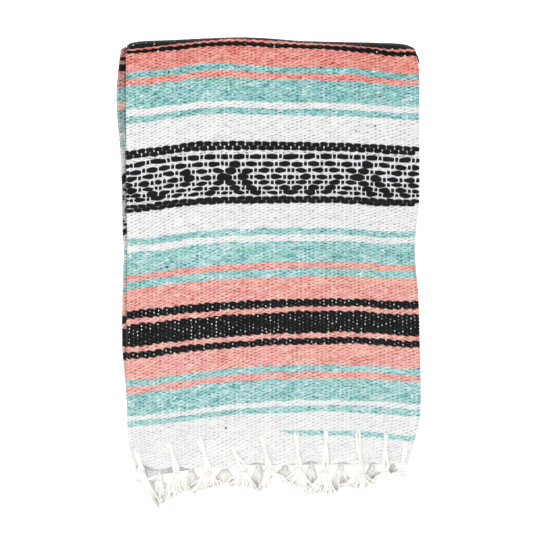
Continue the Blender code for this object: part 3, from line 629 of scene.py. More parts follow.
def lay(q, left, right):
    """(x, depth) of a point at q along the weft, which wraps the left fold and the right edge."""
    centre, lip = left + CURL_RADIUS, right - EDGE
    turn = np.clip((centre - q) / CURL_RADIUS, 0.0, np.pi)
    tip = np.clip((q - lip) / EDGE, 0.0, np.pi)
    tail = np.maximum(centre - q - np.pi * CURL_RADIUS, 0.0)
    under = np.maximum(q - lip - np.pi * EDGE, 0.0)
    x = np.where(q < centre, centre - CURL_RADIUS * np.sin(turn) + tail, q)
    x = np.where(q > lip, lip + EDGE * np.sin(tip) - under, x)
    depth = np.where(q < centre, CURL_RADIUS * (1 - np.cos(turn)), 0.0)
    return x, np.where(q > lip, EDGE * (1 - np.cos(tip)), depth)


def serpentine(c, depth):
    """(y, z, outward y, outward z) of a ply's path at c, this deep in its pack.

    The path runs over pack 1, round the back roll, under pack 4, round the front fold, back along
    pack 3, round the roll inside and forward along pack 2.
    """
    s = [np.clip(c - start, 0.0, span) for start, span in zip([0.0, *MARKS[:-1]], SPANS)]
    angle = (s[1] + s[3]) / BACK_RADIUS
    y = np.minimum(c, ROLL_START) + (BACK_RADIUS - depth) * np.sin(angle)
    z = STACK - BACK_RADIUS - s[2] + (BACK_RADIUS - depth) * np.cos(angle)
    out_y, out_z = np.sin(angle), np.cos(angle)
    bend = s[5] / PACK
    under, inside = c > MARKS[3], c > MARKS[5]
    y = np.where(under, ROLL_START - s[4] - (PACK - depth) * np.sin(bend), y)
    z = np.where(under, PACK - (PACK - depth) * np.cos(bend), z)
    out_y, out_z = np.where(under, -np.sin(bend), out_y), np.where(under, -np.cos(bend), out_z)
    last = s[7] / INNER_RUN * math.pi
    y = np.where(inside, FRONT_TURN + s[6] + depth * np.sin(last), y)
    z = np.where(inside, 2 * PACK - depth * np.cos(last), z)
    out_y, out_z = np.where(inside, -np.sin(last), out_y), np.where(inside, np.cos(last), out_z)
    y = np.where(c > MARKS[7], INNER_ROLL - (c - MARKS[7]), y)
    return y, z, out_y, out_z


def fit_sides(x, y, left_side, left_at, right_at, right_inset=0.0):
    """Moves x so that the cloth's edges follow the stack's, and its middle stays."""
    right = top_right(y) - right_inset - right_at
    left = left_side(y) - left_at
    return x + right * way(x, FIT_FROM, right_at) ** 2 + left * way(x, -FIT_FROM, left_at) ** 2


def top_place(q, c, depth=0.0):
    """Point of the top ply at q along the weft and c along the cloth, this deep under its face."""
    x, wrapped = lay(q, TOP_LEFT_AT, TOP_RIGHT_AT)
    depth = depth + wrapped
    x = fit_sides(x, serpentine(c, 0.0)[0], top_left, TOP_LEFT_AT, TOP_RIGHT_AT)
    along, bow = slide(x, c)
    y, z, out_y, out_z = serpentine(along, 0.0)
    back = y + bow
    height = np.where((along < ROLL_START) & (wrapped < 0.5), top_height(x, back), z)
    return np.stack([x, back - out_y * depth, height - out_z * depth], -1)


def second_place(q, c, depth=0.0):
    """Point of pack 2's upper ply; c is Y, apart from the hem's own line."""
    x, wrapped = lay(q, SECOND_LEFT_AT, SECOND_RIGHT_AT)
    x = fit_sides(x, c, lower_left, SECOND_LEFT_AT, SECOND_RIGHT_AT, SECOND_RIGHT_INSET)
    hem = (second_hem(x) - SECOND_START) * way(c, HEM_FADE, SECOND_START)
    inner, outer, front, reach = CORNER
    corner = way(x, inner, outer) * way(c, front, SECOND_END)
    y = c + hem + bow_at(x, c) + reach * corner
    return np.stack([x, y, SECOND_TOP - (depth + wrapped) + 0.0 * y], -1)


def weave(name, place, qs, hem, end, yarn_of, tuck=8.0, faded=0.0, painted_shade=None):
    """A woven sheet: two rows of points for each pick and two columns for each pair of warps.

    place(q, c, depth) gives its points, and yarn_of(q, c) the yarn of each. Its first edge, at hem, is
    rounded under; tuck 0 leaves it open. faded greys the yarns, as round a fold, where the warps show,
    and shaded(q, c) gives painted shade on them, as a factor of their brightness.
    """
    picks = int((end - hem) / PICK)
    rows = [(hem + tuck, 2 * EDGE, 0, 0.0, 0)] if tuck else []
    rows += [(hem + back, deep * EDGE, 0, relief, 0) for back, deep, relief in HEM_ROWS if tuck]
    for k in range(picks):
        crest = hem + FIRST_PICK + PICK * k
        rows += [(crest, 0.0, k, 1.0, CREST), (crest + PICK / 2, 0.0, k, 1.0, FURROW)]
    c, depth, pick, relief, kind = (np.array(v)[:, None] for v in zip(*rows))
    furrow = kind == FURROW
    q, c = np.broadcast_arrays(np.asarray(qs, float)[None], c)
    u = (q - FIGURE_X) / WARP
    wave, lean = np.cos(np.pi * (u - pick)), np.sin(np.pi * (u - pick))
    strength = relief * np.where(q > qs.max() - 2.0, 0.5, 1.0)
    height = np.where(furrow, VALLEY, (OVER + UNDER) / 2 + (OVER - UNDER) / 2 * wave)
    thick = rng.normal(size=picks + 1)[pick] * THICKNESS_VARIES
    shift = np.where(furrow, BULGE * wave, np.where(kind == CREST, SLANT * lean, 0.0)) * strength
    shift = shift + RIPPLE * drifting(q, c, RIPPLE_RUN, RIPPLE_WIDTH, 0.0) * relief
    base = place(q, c + shift, depth + 0.0 * q)
    points = base + grid_normals(base) * ((height + thick) * strength + SKIN)[..., None]
    points[..., 2] = np.maximum(points[..., 2], FLOOR_GAP)

    crest = hem + FIRST_PICK + PICK * pick
    own, after = (yarn_of(q, crest + step + 0.0 * q) for step in (0.0, PICK))
    covered = furrow & (wave < 0) & ((own == "black") | (after == "black"))
    colour = heather(np.where(covered, after, own), q, c, drifting(q, c, *STREAK))
    # Painted shade: the furrows between picks are darkened.
    colour = colour * np.where(furrow, PAINTED_FURROW_DIM, 1.0)[..., None]
    # Lighter towards the hem and darker towards the back.
    colour = colour ** tone_along(c)[..., None]
    # Painted shade, where the sheet is given one.
    if painted_shade is not None:
        colour = colour * painted_shade(q, c)[..., None]
    worn = np.clip(faded * (1.0 + 0.8 * rng.normal(size=q.shape)), 0.0, 0.9)[..., None]
    worn = worn * np.clip(3.0 * colour.mean(-1, keepdims=True) - 0.6, 0.1, 1.0)
    colour = colour + (np.array(WORN) - colour) * worn
    CUTS[name] = (np.ptp(qs), end - hem + tuck, 1.0)
    return add_piece(name, points, colour, np.stack([q, c - hem - FIRST_PICK], -1), CLOTH)


def columns(start, end):
    """Places along the weft from start to end at every warp pair and halfway between."""
    half = WARP / 2
    marks = FIGURE_X + half * np.arange(math.ceil((start - FIGURE_X) / half), (end - FIGURE_X) / half)
    return np.concatenate([[start], marks[(marks > start + 0.5) & (marks < end - 0.5)], [end]])[::-1]


def yarns_across(q, c):
    """Yarn of each point of the top face, whose hem has a wedge of mint picks at the right."""
    rows = {value: yarn_at(value) for value in np.unique(c)}
    names = np.vectorize(rows.get, otypes=["<U8"])(c)
    low, high = STRIPES[0][1], STRIPES[1][1]
    inside = c > high - (high - low) * way(q, *WEDGE)
    return np.where(names == "wedge", np.where(inside, "mint", "white"), names)


def around_lip(right, *turns):
    """Places along the weft round a right edge, each after this share of its half turn."""
    return right - EDGE + EDGE * math.pi * np.array(turns)


def build_top_sheet():
    end = MARKS[2] + QUARTER + ROLL_TAIL
    under = around_lip(TOP_RIGHT_AT, 1.0) + LIP_TAIL
    face = columns(TOP_LEFT_AT - CURL_TAIL, TOP_RIGHT_AT - EDGE)
    qs = np.concatenate([under, around_lip(TOP_RIGHT_AT, 1.0, 0.75, 0.5, 0.25), face])
    made = weave("top_sheet", top_place, qs, TOP_HEM, end, yarns_across)
    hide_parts("top_leaf")


def build_second_sheets():
    """Pack 2's upper ply where it shows: along the left fold and past the top hem."""
    def yarns(q, c):
        at = c + np.interp(c, *np.array(SECOND_SHIFT).T)
        return yarns_seen(q, np.where(at > SECOND_LAST, SECOND_BACK_C, at))

    # Painted shade: the fold dims towards the back, and darkens further in a painted shadow beside the top
    # ply's edge.
    def painted_shade(q, c):
        place = second_place(q, c)
        clear = top_left(place[..., 1]) - place[..., 0]
        at, bright, deep = np.array(FOLD_PAINTED_SHADE).T
        beside = np.interp(clear, *np.array(EDGE_PAINTED_SHADOW).T) ** np.interp(c, at, deep)
        return np.interp(c, at, bright) * np.where(c > HEM_FADE, beside, 1.0)

    qs = columns(SECOND_LEFT_AT - CURL_TAIL, SECOND_SPLIT)
    fold = weave(
        "second_fold", second_place, qs, SECOND_START, SECOND_END, yarns, faded=FOLD_FADED,
        painted_shade=painted_shade,
    )
    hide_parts("second_leaf")
    face = columns(SECOND_SPLIT, SECOND_RIGHT_AT - EDGE)
    qs = np.concatenate([around_lip(SECOND_RIGHT_AT, 1.0, 0.5), face])
    weave(
        "second_hem", second_place, qs, SECOND_START, HEM_FADE, lambda q, c: np.full(np.shape(c), "white"),
    )
    width, length, _ = CUTS["second_hem"]
    hem_share = 1.0 + (SECOND_START - second_hem(qs).mean()) / length
    CUTS["second_hem"] = (width, length, hem_share)


# Yarns laid on the cloth --------------------
BLACK = (0.078, 0.078, 0.086)  # colours in sRGB
WARP_WHITE = (0.96, 0.96, 0.955)


class Yarns:
    """A mesh gathered from many short yarns, each a tube with its own widths and colour."""

    def __init__(self):
        self.points, self.faces, self.colours, self.uvs, self.count = [], [], [], [], 0

    def add(self, path, wide, high, colour, sides=6, up=(0.0, 0.0, 1.0)):
        """path is (n, 3); wide and high are the half sizes along it, across and along `up`."""
        n = len(path)
        tangent = unit(np.gradient(path, axis=0))
        across = np.cross(tangent, np.broadcast_to(up, (n, 3)))
        parallel = np.linalg.norm(across, axis=1, keepdims=True) < 1e-3
        across = np.where(parallel, np.array([1.0, 0.0, 0.0]), unit(across))
        normal = np.cross(across, tangent)
        angles = 2 * np.pi * np.arange(sides) / sides
        wide, high = (np.broadcast_to(v, n)[:, None, None] for v in (wide, high))
        ring = across[:, None] * (np.cos(angles)[None, :, None] * wide)
        ring = ring + normal[:, None] * (np.sin(angles)[None, :, None] * high)
        self.points.append((path[:, None] + ring).reshape(-1, 3))
        self.faces.append(grid_faces(n, sides, self.count, closed=True))
        self.colours.append(np.broadcast_to(colour, (n * sides, 3)))
        # The two remainders give each yarn a place of its own in the fibres' noise.
        run, girth = run_along(path) + self.count % 89, angles * float(np.max(wide)) + self.count % 97
        self.uvs.append(np.stack(np.meshgrid(run, girth, indexing="ij"), -1).reshape(-1, 2))
        self.count += n * sides

    def build(self, name, material, slot):
        points, faces, colours, uvs = map(np.concatenate, (self.points, self.faces, self.colours, self.uvs))
        return add_piece(name, points, np.clip(colours, 0.0, 1.0), uvs, material, faces)


def warp_q(n):
    """Place along the weft of warp pair n."""
    return FIGURE_X + WARP * n


def pairs(start, end):
    """Numbers of the warp pairs between two places along the weft."""
    return range(math.ceil((start - FIGURE_X) / WARP), math.floor((end - FIGURE_X) / WARP) + 1)


def bead(t):
    """Share of its full radius that a short yarn has along it, from -1 to 1."""
    return np.sqrt(np.maximum(1.02 - t**2, 0.0))


def vary(base, spread):
    return np.array(base) * (1 + rng.normal() * spread) + rng.normal(size=3) * 0.006


def add_float(batch, q0, q1, c, width, height, colour, lift=0.25, flat=0.3, ends=0.35, tilt=0.0, peak=0.0):
    """A thick weft yarn that floats over the top face from q0 to q1.

    ends is its share of its full width at its ends, and flat the half length of its full middle at peak.
    """
    t = np.linspace(-1.0, 1.0, 11)
    rise = np.minimum((1 + t) / (1 + peak - flat), (1 - t) / (1 - peak - flat))
    share = ends + (1 - ends) * np.clip(rise, 0.0, 1.0) ** 0.85
    q = (q0 + q1) / 2 + (q1 - q0) / 2 * t
    path = top_place(q, c + tilt * t)
    side = top_place(q, c + tilt * t + 1.0) - path
    up = unit(np.cross(np.gradient(path, axis=0), side))
    sink = height * 1.2 * np.abs(t) ** 8
    path = path + up * (lift + height * 0.4 - sink)[:, None]
    batch.add(path, share * width, np.maximum(share, 0.6) * height, colour, 8, up)


def add_tick(batch, q, c, length, width, height, colour, lean):
    """A pair of warps that crosses over a thick weft yarn."""
    t = np.linspace(-1.0, 1.0, 7)
    path = top_place(q + lean * t, c + length / 2 * t)
    path[:, 2] += height * (1 - t**4) - 0.1
    taper = 1 - 0.55 * np.abs(t) ** 4
    batch.add(path, width * taper, width * 0.8 * taper, colour, 5)


def figure_over(n, row):
    """Whether the black weft of a row of the figured band passes over warp pair n.

    Rows count from the band's middle, and the lozenges repeat every FIGURE_REPEAT warp pairs.
    """
    from_crossing = abs((n + FIGURE_REPEAT // 2) % FIGURE_REPEAT - FIGURE_REPEAT // 2)
    return (from_crossing - abs(row)) % 4 < 2


def yarns_seen(q, c):
    """Yarns where the figured band is drawn by colour alone: on the lower layers and the sides."""
    names = yarns_across(q * 0.0 + WEDGE[0], c)
    c = np.where(c > STRIPES[-1][1], c - REPEAT * np.ceil((c - STRIPES[-1][1]) / REPEAT), c)
    n = np.round((q - FIGURE_X) / WARP).astype(int)
    black = np.zeros(np.shape(names), bool)
    for row, (at, half, _) in zip(BAND_ROWS, FIGURE_ROWS):
        black |= (np.abs(c - at) < 0.8 * half) & figure_over(n, row)
    for rows, half, _ in ROPES:
        for at in rows:
            black |= np.abs(c - at) < 0.9 * half
    return np.where(black, "black", names)


def weft_row(black, white, c, half, ties, tick, ends, row=None, shine=None, aside=0.0):
    """One thick black weft yarn: floats from tie to tie, with a white warp over each tie.

    half is half a float's width in its middle, tick a warp's length, and aside how far back of the yarn
    the warps lie.  Their brightness varies about shine; without it they are white.
    """
    for a, b in zip(ties, ties[1:]):
        q0, q1 = warp_q(a) + TICK_HALF / 2, warp_q(b) - TICK_HALF / 2
        at = c + rng.normal() * 0.25
        if b - a == 1:
            colour = vary(BLACK, 0.12)
            add_float(black, q0, q1, at, 0.74 * half, 0.9, colour, lift=0.15, flat=0.5, ends=0.88)
            continue
        near = [math.exp(-(((q0 + q1) / 2 - x) / FULL_RUN) ** 2) for x, full in FULL if full == row]
        size = half * (1 + 0.07 * rng.normal()) * (1 + FULL_SWELL * max(near, default=0.0))
        peak = np.clip(rng.normal() * 0.22, -0.35, 0.35)
        colour, tilt = vary(BLACK, 0.12), rng.normal() * 0.4
        add_float(black, q0, q1, at, size, 0.85, colour, 0.3, 0.22, ends, tilt, peak)
    thick = 1.0 if shine is None else 0.9 + 0.45 * shine
    for n in ties[1:-1]:
        if warp_q(n) < TOP_LEFT_AT + CURL_RADIUS:
            continue
        tone = 1.0 if shine is None else np.clip(shine + rng.normal() * 0.25, 0.14, 1.0)
        at, long = c + aside + rng.normal() * 0.2, tick * (0.7 + 0.3 * tone)
        colour, lean = np.array(WARP_WHITE) * tone, rng.normal() * 0.35 * thick
        add_tick(white, warp_q(n), at, long, TICK_HALF * thick, 1.0 + 0.5 * thick, colour, lean)


def build_figured_band():
    """The lozenges: thick black weft floats in seven rows, with the white warps between them."""
    black, white = Yarns(), Yarns()
    band = pairs(TOP_LEFT_AT - 8.0, TOP_RIGHT_AT - 1.0)
    before, after = band[0] - 1, band[-1] + 1
    for row, (c, half, ends) in zip(BAND_ROWS, FIGURE_ROWS):
        ties = [n for n in band if not figure_over(n, row)]
        weft_row(black, white, c, half, [before, *ties, after], FIGURE_TICK, ends, row)
    for rows, half, shine in ROPES:
        for k, c in enumerate(rows):
            ties = [n for n in range(before, after + 1) if (n + k) % 2]
            weft_row(black, white, c, half, ties, ROPE_TICK, 0.75, shine=shine, aside=0.85 * (2 * k - 1))
    build_specks(black, band[2:-1])
    black.build("figured_floats", THICK, "woven_stripes")
    white.build("figured_warps", THICK, "woven_stripes")


def build_specks(black, band):
    """The last black pick above the lozenges, which shows as specks between the white picks."""
    for n in band:
        if rng.random() < SPECK_CHANCE:
            q = warp_q(n) + rng.random() * 2.0
            reach = 0.5 + 1.1 * rng.random() ** 2
            at = SPECKS_AT + rng.normal() * 0.3
            add_float(black, q - reach, q + reach, at, 0.4, 0.5, vary(SPECK_BLACK, 0.3), lift=0.2)


def build_warp_dots():
    """White warps that show as dots where they cross over the black picks."""
    dots = Yarns()
    t = np.linspace(-1.0, 1.0, 5)
    for k in range(int((DOTS_END - TOP_HEM) / PICK)):
        c = TOP_HEM + FIRST_PICK + PICK * k
        if yarn_at(c) != "black":
            continue
        for n in pairs(TOP_LEFT_AT + 2.0, TOP_RIGHT_AT - 2.0):
            if (n - k) % 2 == 0 or rng.random() < DOT_MISSING:
                continue
            if c > FEW_DOTS_FROM and rng.random() < FEW_DOTS_MISSING:
                continue
            tone = rng.choice(DOT_TONES, p=DOT_SHARES) * (0.9 + 0.1 * rng.random())
            size = 0.8 + 0.35 * tone
            q = warp_q(n) + rng.normal() * 0.25 + 0.25 * t
            up = np.array([0.0, *serpentine(np.array(c), 0.0)[2:]])
            path = top_place(q, c + 0.75 * size * t) + up * DOT_LIFT
            dots.add(path, 0.62 * size * bead(t), 0.4 * bead(t), np.array(WARP_WHITE) * tone, 5, up)
    dots.build("warp_dots", THICK, "woven_stripes")


def build_loose_yarns():
    """Slubs in the weft, and the black thread that hangs at the right end of the roll."""
    bits = Yarns()
    t = np.linspace(0.0, 1.0, 9)
    swell = bead(2 * t - 1)
    for x, y, length, radius, shade in SLUBS:
        x, y = x + (t - 0.5) * length, y + (t - 0.5) * length * 0.3
        points = np.stack([x, y, top_height(x, y) + SLUB_LIFT], -1)
        bits.add(points, 1.1 * radius * swell, 0.7 * radius * swell, vary(shade, 0.08))
    (x0, y0), (x1, y1) = TAIL
    x, y, z = x0 + (x1 - x0) * np.sin(t * math.pi / 2), y0 + (y1 - y0) * t, STACK + 0.2 - 2.6 * t**2
    bits.add(np.stack([x, y, z], -1), 1.0 - 0.45 * t, 0.9 - 0.4 * t, BLACK)
    bits.build("loose_yarns", THICK, "woven_stripes")


# The layered sides --------------------
HEM_EDGE_X = (-140.0, 148.0)  # the hems of the lower plies run from one of these X to the other
HEM_EDGE_BACK = 1.2  # how far they lie back of the upper ply's hem
FOLD_SKIN = 0.15  # the sheet of the left folds lies this far outside the solids


def edge_profile(count, tuck, bulge, half):
    """How far back and how high the points round an edge lie: tuck at both ends, and round between."""
    turn = np.linspace(-0.5, 0.5, count) * math.pi
    back = np.concatenate([[tuck], bulge * (1 - np.cos(turn)), [tuck]])
    return back, np.concatenate([[-1.0], np.sin(turn), [1.0]]) * half


def right_side(y, z):
    """X of the stack's right side at a station and a height."""
    pack = np.clip((z / PACK).astype(int), 0, 3)
    inset = np.array([LOWER_RIGHT_INSET, LOWER_RIGHT_INSET, SECOND_RIGHT_INSET, 0.0])[pack]
    return top_right(y) - inset


def build_right_edges():
    """The plies' right edges: two selvedges and one fold of two plies, along the whole serpentine."""
    end = MARKS[-1] + INNER_ROLL - TOP_HEM - 3.0
    for name, depth, thick, setback, start in RIGHT_EDGES:
        c = np.arange(start, end, PICK)
        back, ups = edge_profile(7, 5.0, 0.42 * thick, thick / 2)
        cc, uu = np.meshgrid(c, ups, indexing="ij")
        loops = 0.28 * np.cos(np.pi * np.arange(len(c)))[:, None] * np.cos(np.pi * uu / thick)
        y, z, _, _ = serpentine(cc, depth - uu)
        x = right_side(y, z) - setback - back + loops + 0.45 * drifting(cc, uu, 60.0, 30.0, 0.0)
        along, bow = slide(x, cc)
        y, z, _, _ = serpentine(along, depth - uu)
        y = y + np.where(cc < MARKS[3], bow, bow_at(x, y))
        # Painted shade: the ply edges on the stack's side are made 4 % darker.
        colour = heather(yarns_seen(cc * 0.0, cc), uu, cc, drifting(cc, uu, 2.0, 1.0, 0.0)) * 0.96
        points, uvs = np.stack([x, y, np.maximum(z, FLOOR_GAP)], -1), np.stack([uu * 3.0, cc], -1)
        CUTS[name] = (np.hypot(np.diff(back), np.diff(ups)).sum(), np.ptp(c), 1.0)
        add_piece(name, points, colour, uvs, CLOTH)


def build_left_folds():
    """The folded left side of packs 3 and 4, with the front fold that joins them."""
    radius = PACK / 2 + FOLD_SKIN

    def place(q, c, depth):
        turn = (SECOND_LEFT_AT + radius - q) / radius
        deep = radius * (1 - np.cos(turn)) - FOLD_SKIN + depth
        y, z, _, _ = serpentine(c, np.clip(deep, 0.0, PACK))
        x = lower_left(y) + LOWER_LEFT_INSET + radius - radius * np.sin(turn)
        return np.stack([x, y + bow_at(x, y), z], -1)

    qs = SECOND_LEFT_AT + radius - radius * math.pi * np.linspace(0.0, 1.0, 9)
    weave("left_folds", place, qs, MARKS[3] - 1.0, MARKS[7], yarns_seen, tuck=0.0)


def build_under_sheet():
    """The bottom ply: flat on the floor, round the front fold and back in between the packs."""
    left, right = SECOND_LEFT_AT + LOWER_LEFT_INSET + PLY, TOP_RIGHT_AT - LOWER_RIGHT_INSET
    first = math.ceil((left + 0.6 - FIGURE_X) / WARP)
    inner = FIGURE_X + WARP * np.arange(first, (right - 0.6 - FIGURE_X) / WARP)
    qs = np.concatenate([[left], inner, [right]])
    c = np.arange(MARKS[3], MARKS[5] + UNDER_TUCK, PICK)
    cc, qq = np.meshgrid(c, qs, indexing="ij")
    parity = sum(np.indices(cc.shape)) % 2
    y, z, _, _ = serpentine(cc, 0.1 + 0.5 * parity)
    x = fit_sides(qq, y, lower_left, SECOND_LEFT_AT, TOP_RIGHT_AT)
    points = np.stack([x, y + bow_at(x, y), z], -1)
    colour = heather(yarns_seen(qq, cc), qq, cc, drifting(qq, cc, *STREAK))
    CUTS["under_sheet"] = (np.ptp(qs), np.ptp(c), 1.0)
    made = add_piece("under_sheet", points, colour, np.stack([qq, cc], -1), CLOTH)
    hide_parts("under_leaf")


def build_hem_edges():
    """The hems of the three plies under each pack's upper one, at the front."""
    qs = columns(*HEM_EDGE_X)
    back, ups = edge_profile(5, 6.0, 0.8, 0.46 * PLY)
    x = np.repeat(qs[:, None], len(back), axis=1)
    white = np.full(x.shape, "white")
    for name, top, hem in (
        ("top_hem_edges", STACK, top_hem(qs)),
        ("second_hem_edges", 3 * PACK, second_hem(qs)),
    ):
        points, faces, colours = [], [], []
        for ply in range(3):
            z = np.full(x.shape, top - PLY * (ply + 1.5))
            edge = hem + HEM_EDGE_BACK + 0.5 * rng.normal()
            y = edge[:, None] + back + 0.25 * drifting(x, z, 5.0, 5.0, 0.0)
            points.append(np.stack([x, y, z + ups], -1).reshape(-1, 3))
            faces.append(grid_faces(*x.shape, first=ply * x.size))
            # Painted shade: the hems under the upper ply are made 3 % darker.
            colours.append(heather(white, x, y, drifting(x, y, 3.0, 1.0, 0.0)) * 0.97)
        points = np.concatenate(points)
        CUTS[name] = (3 * np.ptp(qs), np.hypot(np.diff(back), np.diff(ups)).sum(), 1.0)
        colours, faces = np.concatenate(colours), np.concatenate(faces)
        add_piece(name, points, colours, points[:, :2], CLOTH, faces)


def dress_hidden_layers():
    """The plies between, which show only in the gaps, get a plain woven cloth whose grey is painted shade."""
    g = Graph("serape_inside_painted_shade")
    place = g.nodes.new("ShaderNodeTexCoord").outputs["Object"]
    threads = g.add("ShaderNodeTexWave", place, 1.0 / (6.0 * PICK * MM), 1.5, bands_direction="Y")
    # The bands of threads belong to the cloth; their grey is painted shade.
    tone = g.ramp(threads.node.outputs["Fac"], 0.0, 1.0, 0.62, 0.86)
    g.shade({"Base Color": tone, "Roughness": 0.95})
    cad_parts["hidden_layers"].data.materials[0] = g.material


# Tassels --------------------
CREAM = (0.972, 0.967, 0.947)
FULL_TURN = 6.28  # radians
SPREAD_MORE = 9.0  # the strands' ends reach this much beyond a tassel's own spread
# Kinds of tassel: the cord's radius at both ends, the knot's radius, how far under its middle the strands
# start, and their number, radius, the share of the tassel's spread that they take and height at the tip.
TASSELS = {
    "top": ((1.5, 2.4), 3.4, 0.6, 54, 1.02, 1.3, 2.0),
    "second": ((1.2, 1.6), 2.8, 0.4, 46, 1.0, 1.2, 1.4),
}


def cream(tone=1.0):
    return np.clip(np.array(CREAM) * tone * (1 + 0.02 * rng.normal()), 0.0, 1.0)


def add_cord(batch, spine, thin, thick, turns, phase):
    """Two plies twisted about a spine of points, each thin at the start and thick at the end."""
    spine = np.asarray(spine, float)
    run = run_along(spine)
    stations = np.linspace(0.0, run[-1], 18)
    path = np.stack([np.interp(stations, run, spine[:, k]) for k in range(3)], -1)
    tangent = unit(np.gradient(path, axis=0))
    across = unit(np.cross(tangent, (0.0, 0.0, 1.0)))
    normal = np.cross(across, tangent)
    share = stations / run[-1]
    radius = thin + (thick - thin) * share

    def beside(angle, flat):
        return across * np.cos(angle)[:, None] + normal * (flat * np.sin(angle))[:, None]

    for ply in (0.0, math.pi):
        angle = 0.6 * math.sin(phase) + ply + math.pi * turns * share
        for strand in (-1, 0, 1):
            offset = beside(angle, 0.4) * 0.9 + beside(3 * angle + 2.1 * strand, 0.7) * 0.42
            batch.add(path + offset * radius[:, None], radius * 0.55, radius * 0.5, cream(), 5)


def add_knot(batch, centre, radius):
    """An overhand knot: a few turns of yarn about the tassel's head."""
    t = np.linspace(0.0, 2 * math.pi * 1.05, 15)
    for k in range(3):
        tilt = 0.5 * (k - 1) + 0.15 * rng.normal()
        along = 0.62 * (k - 1) + 0.34 * np.sin(t + k) * math.sin(tilt)
        ring = radius * np.stack([0.82 * np.cos(t + k), along, 0.78 * np.sin(t + k)], -1)
        batch.add(centre + ring, radius * 0.42, radius * 0.42, cream(), 6, (0.0, 1.0, 0.0))


def add_strands(batch, head, lip_y, tip_x, spread, count, radius, tip_height):
    """Loose curly strands from the knot, level to lip_y and then down to the floor."""
    t = np.linspace(0.0, 1.0, 16)
    for k in range(count):
        lean = np.clip(2 * (k + rng.random()) / count - 1 + 0.12 * rng.normal(), -1.1, 1.1)
        reach = 1.04 - 0.42 * rng.random() ** 1.6
        layer = rng.random()
        end_x = np.clip(tip_x + lean * spread, *FRINGE_X) + 0.6 * rng.normal()
        end_y = lip_y + (float(fringe_end(end_x)) - lip_y) * reach + rng.normal()
        x = head[0] + (end_x - head[0]) * t**1.05 + 2.3 * lean * (1 - t)
        y = head[1] + (end_y - head[1]) * t - 3.0 * t * (1 - t) * (1 - abs(lean))
        past = np.clip((lip_y - y) / max(lip_y - end_y, 1.0), 0.0, 1.0)
        low = tip_height + 9.0 * layer * (1 - reach) + 3.0 * layer
        top = head[2] - 1.5 + 3.0 * layer
        z = low + (top - low) * np.sqrt(np.maximum(1 - past**2, 0.0))
        curl, turn = 0.8 + 2.0 * rng.random(2) ** 1.4, rng.random() * FULL_TURN
        wave = turn + 2 * math.pi * (0.7 + 1.5 * rng.random()) * t
        x = x + curl[0] * t * np.sin(wave) + 2.4 * rng.normal() * t**2
        y = y + curl[1] * 0.7 * t * np.cos(wave)
        z = z + 0.6 * curl[1] * t * np.cos(wave)
        taper = radius * (0.85 + 0.35 * rng.random()) * (1 - 0.4 * t**3)
        z = np.maximum(z, taper + 0.1)
        # Painted shade: strands lower in the fringe are up to 5 % darker than the upper ones.
        batch.add(np.stack([x, y, z], -1), taper, taper, cream(0.97 + 0.05 * layer), 5)


def build_tassel(kind, number, spine, turns, head, lip_y, tip_x, spread):
    """A cord along the spine, a knot at the head and the strands, which fall to the floor past lip_y."""
    ends, knot, under, count, radius, share, tip_height = TASSELS[kind]
    batch = Yarns()
    add_cord(batch, spine, *ends, turns, rng.random() * FULL_TURN)
    add_knot(batch, head, knot)
    spread = spread * share + SPREAD_MORE
    add_strands(batch, head - (0.0, 0.6, under), lip_y, tip_x, spread, count, radius, tip_height)
    made = batch.build(f"fringe_{kind}_{number:02d}", FRINGE, "fringe_cotton")
    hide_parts(f"tassel_{kind}_{number:02d}")


def build_tassels():
    share = np.linspace(0.0, 1.0, 7)
    for number, (neck_x, neck_y, hem_x, hem_y, tip_x, spread) in enumerate(TOP_TASSELS, 1):
        x = neck_x + (hem_x - neck_x) * share + 0.8 * np.sin(share * math.pi) * rng.normal()
        y = neck_y + (hem_y - neck_y) * share
        z = top_height(x, y) + 1.35 - 2.0 * (1 - share) ** 8
        spine = [*np.stack([x, y, z], -1), (hem_x, hem_y - 3.4, z[-1] - 3.2)]
        turns = 0.8 + 0.5 * rng.random()
        head = np.array([hem_x, hem_y - 5.4, STACK - 4.4])
        lip_y = min(float(second_hem(hem_x)) - 2.8, hem_y - 11.0)
        build_tassel("top", number, spine, turns, head, lip_y, tip_x, spread)
    level = SECOND_TOP - PLY / 2
    for number, (hem_x, tip_x, spread) in enumerate(SECOND_TASSELS, 1):
        hem_y = float(second_hem(hem_x))
        spine = [(hem_x, hem_y + 6.0, level + 1.8), (hem_x, hem_y, level + 1.4), (hem_x, hem_y - 2.4, level)]
        head = np.array([hem_x, hem_y - 3.8, level - 1.2])
        build_tassel("second", number, spine, 0.7, head, hem_y - 9.0, tip_x, spread)


# Stage --------------------
FLOOR_HALF = 3.0  # half the floor's side, in metres
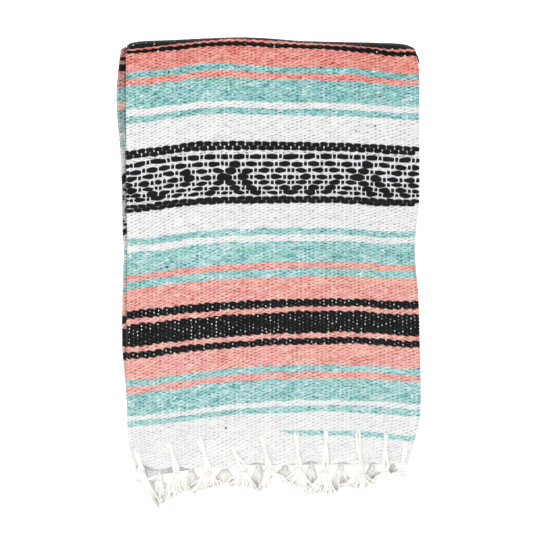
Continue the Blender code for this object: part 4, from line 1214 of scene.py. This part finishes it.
# The lamps: place, aim and width in metres, and power.
LAMPS = {
    "key": ((-0.7, 0.9, 1.6), (0.0, 0.0, 0.0), 0.6, 8.0),
    "fringe_light": ((0.0, -1.3, 0.4), (0.0, -0.2, 0.0), 0.9, 0.8),
}
VIEW_X, VIEW_Y, VIEW_WIDTH = 2.15, 5.92, 581.04  # middle and width of the view at the top face
SENSOR, FOCAL_LENGTH = 36.0, 100.0


def build_stage():
    corners = [(x * FLOOR_HALF, y * FLOOR_HALF, 0.0) for x, y in ((-1, -1), (1, -1), (1, 1), (-1, 1))]
    mesh = bpy.data.meshes.new("floor")
    mesh.from_pydata(corners, [], [(0, 1, 2, 3)])
    floor = add_object("floor", mesh)
    paper = Graph("floor_paper")
    paper.shade({
        "Base Color": (0.955, 0.955, 0.955, 1.0), "Roughness": 0.9, "Emission Color": (1.0, 1.0, 1.0, 1.0),
        "Emission Strength": 0.55,  # the light box under the paper
    })
    mesh.materials.append(paper.material)

    world = bpy.data.worlds.new("studio")
    world.use_nodes = True
    sky = world.node_tree.nodes["Background"].inputs
    sky["Color"].default_value, sky["Strength"].default_value = (1.0, 1.0, 1.0, 1.0), 1.0
    bpy.context.scene.world = world
    for name, (place, aim, width, power) in LAMPS.items():
        light = bpy.data.lights.new(name, "AREA")
        light.shape, light.size, light.energy = "DISK", width, power
        made = add_object(name, light)
        made.location = place
        made.rotation_mode = "QUATERNION"
        made.rotation_quaternion = Vector(np.array(aim) - np.array(place)).to_track_quat("-Z", "Y")


def build_camera():
    camera = bpy.data.cameras.new("camera")
    camera.sensor_width, camera.lens = SENSOR, FOCAL_LENGTH
    camera.clip_start, camera.clip_end = 0.05, 20.0
    made = add_object("camera", camera)
    made.location = (VIEW_X * MM, VIEW_Y * MM, (VIEW_WIDTH * FOCAL_LENGTH / SENSOR + STACK) * MM)
    bpy.context.scene.camera = made
    bpy.context.scene.view_settings.view_transform = "Standard"


build_stage()
build_camera()
build_top_sheet()
build_second_sheets()
build_figured_band()
build_warp_dots()
build_loose_yarns()
build_right_edges()
build_left_folds()
build_under_sheet()
build_hem_edges()
dress_hidden_layers()
build_tassels()
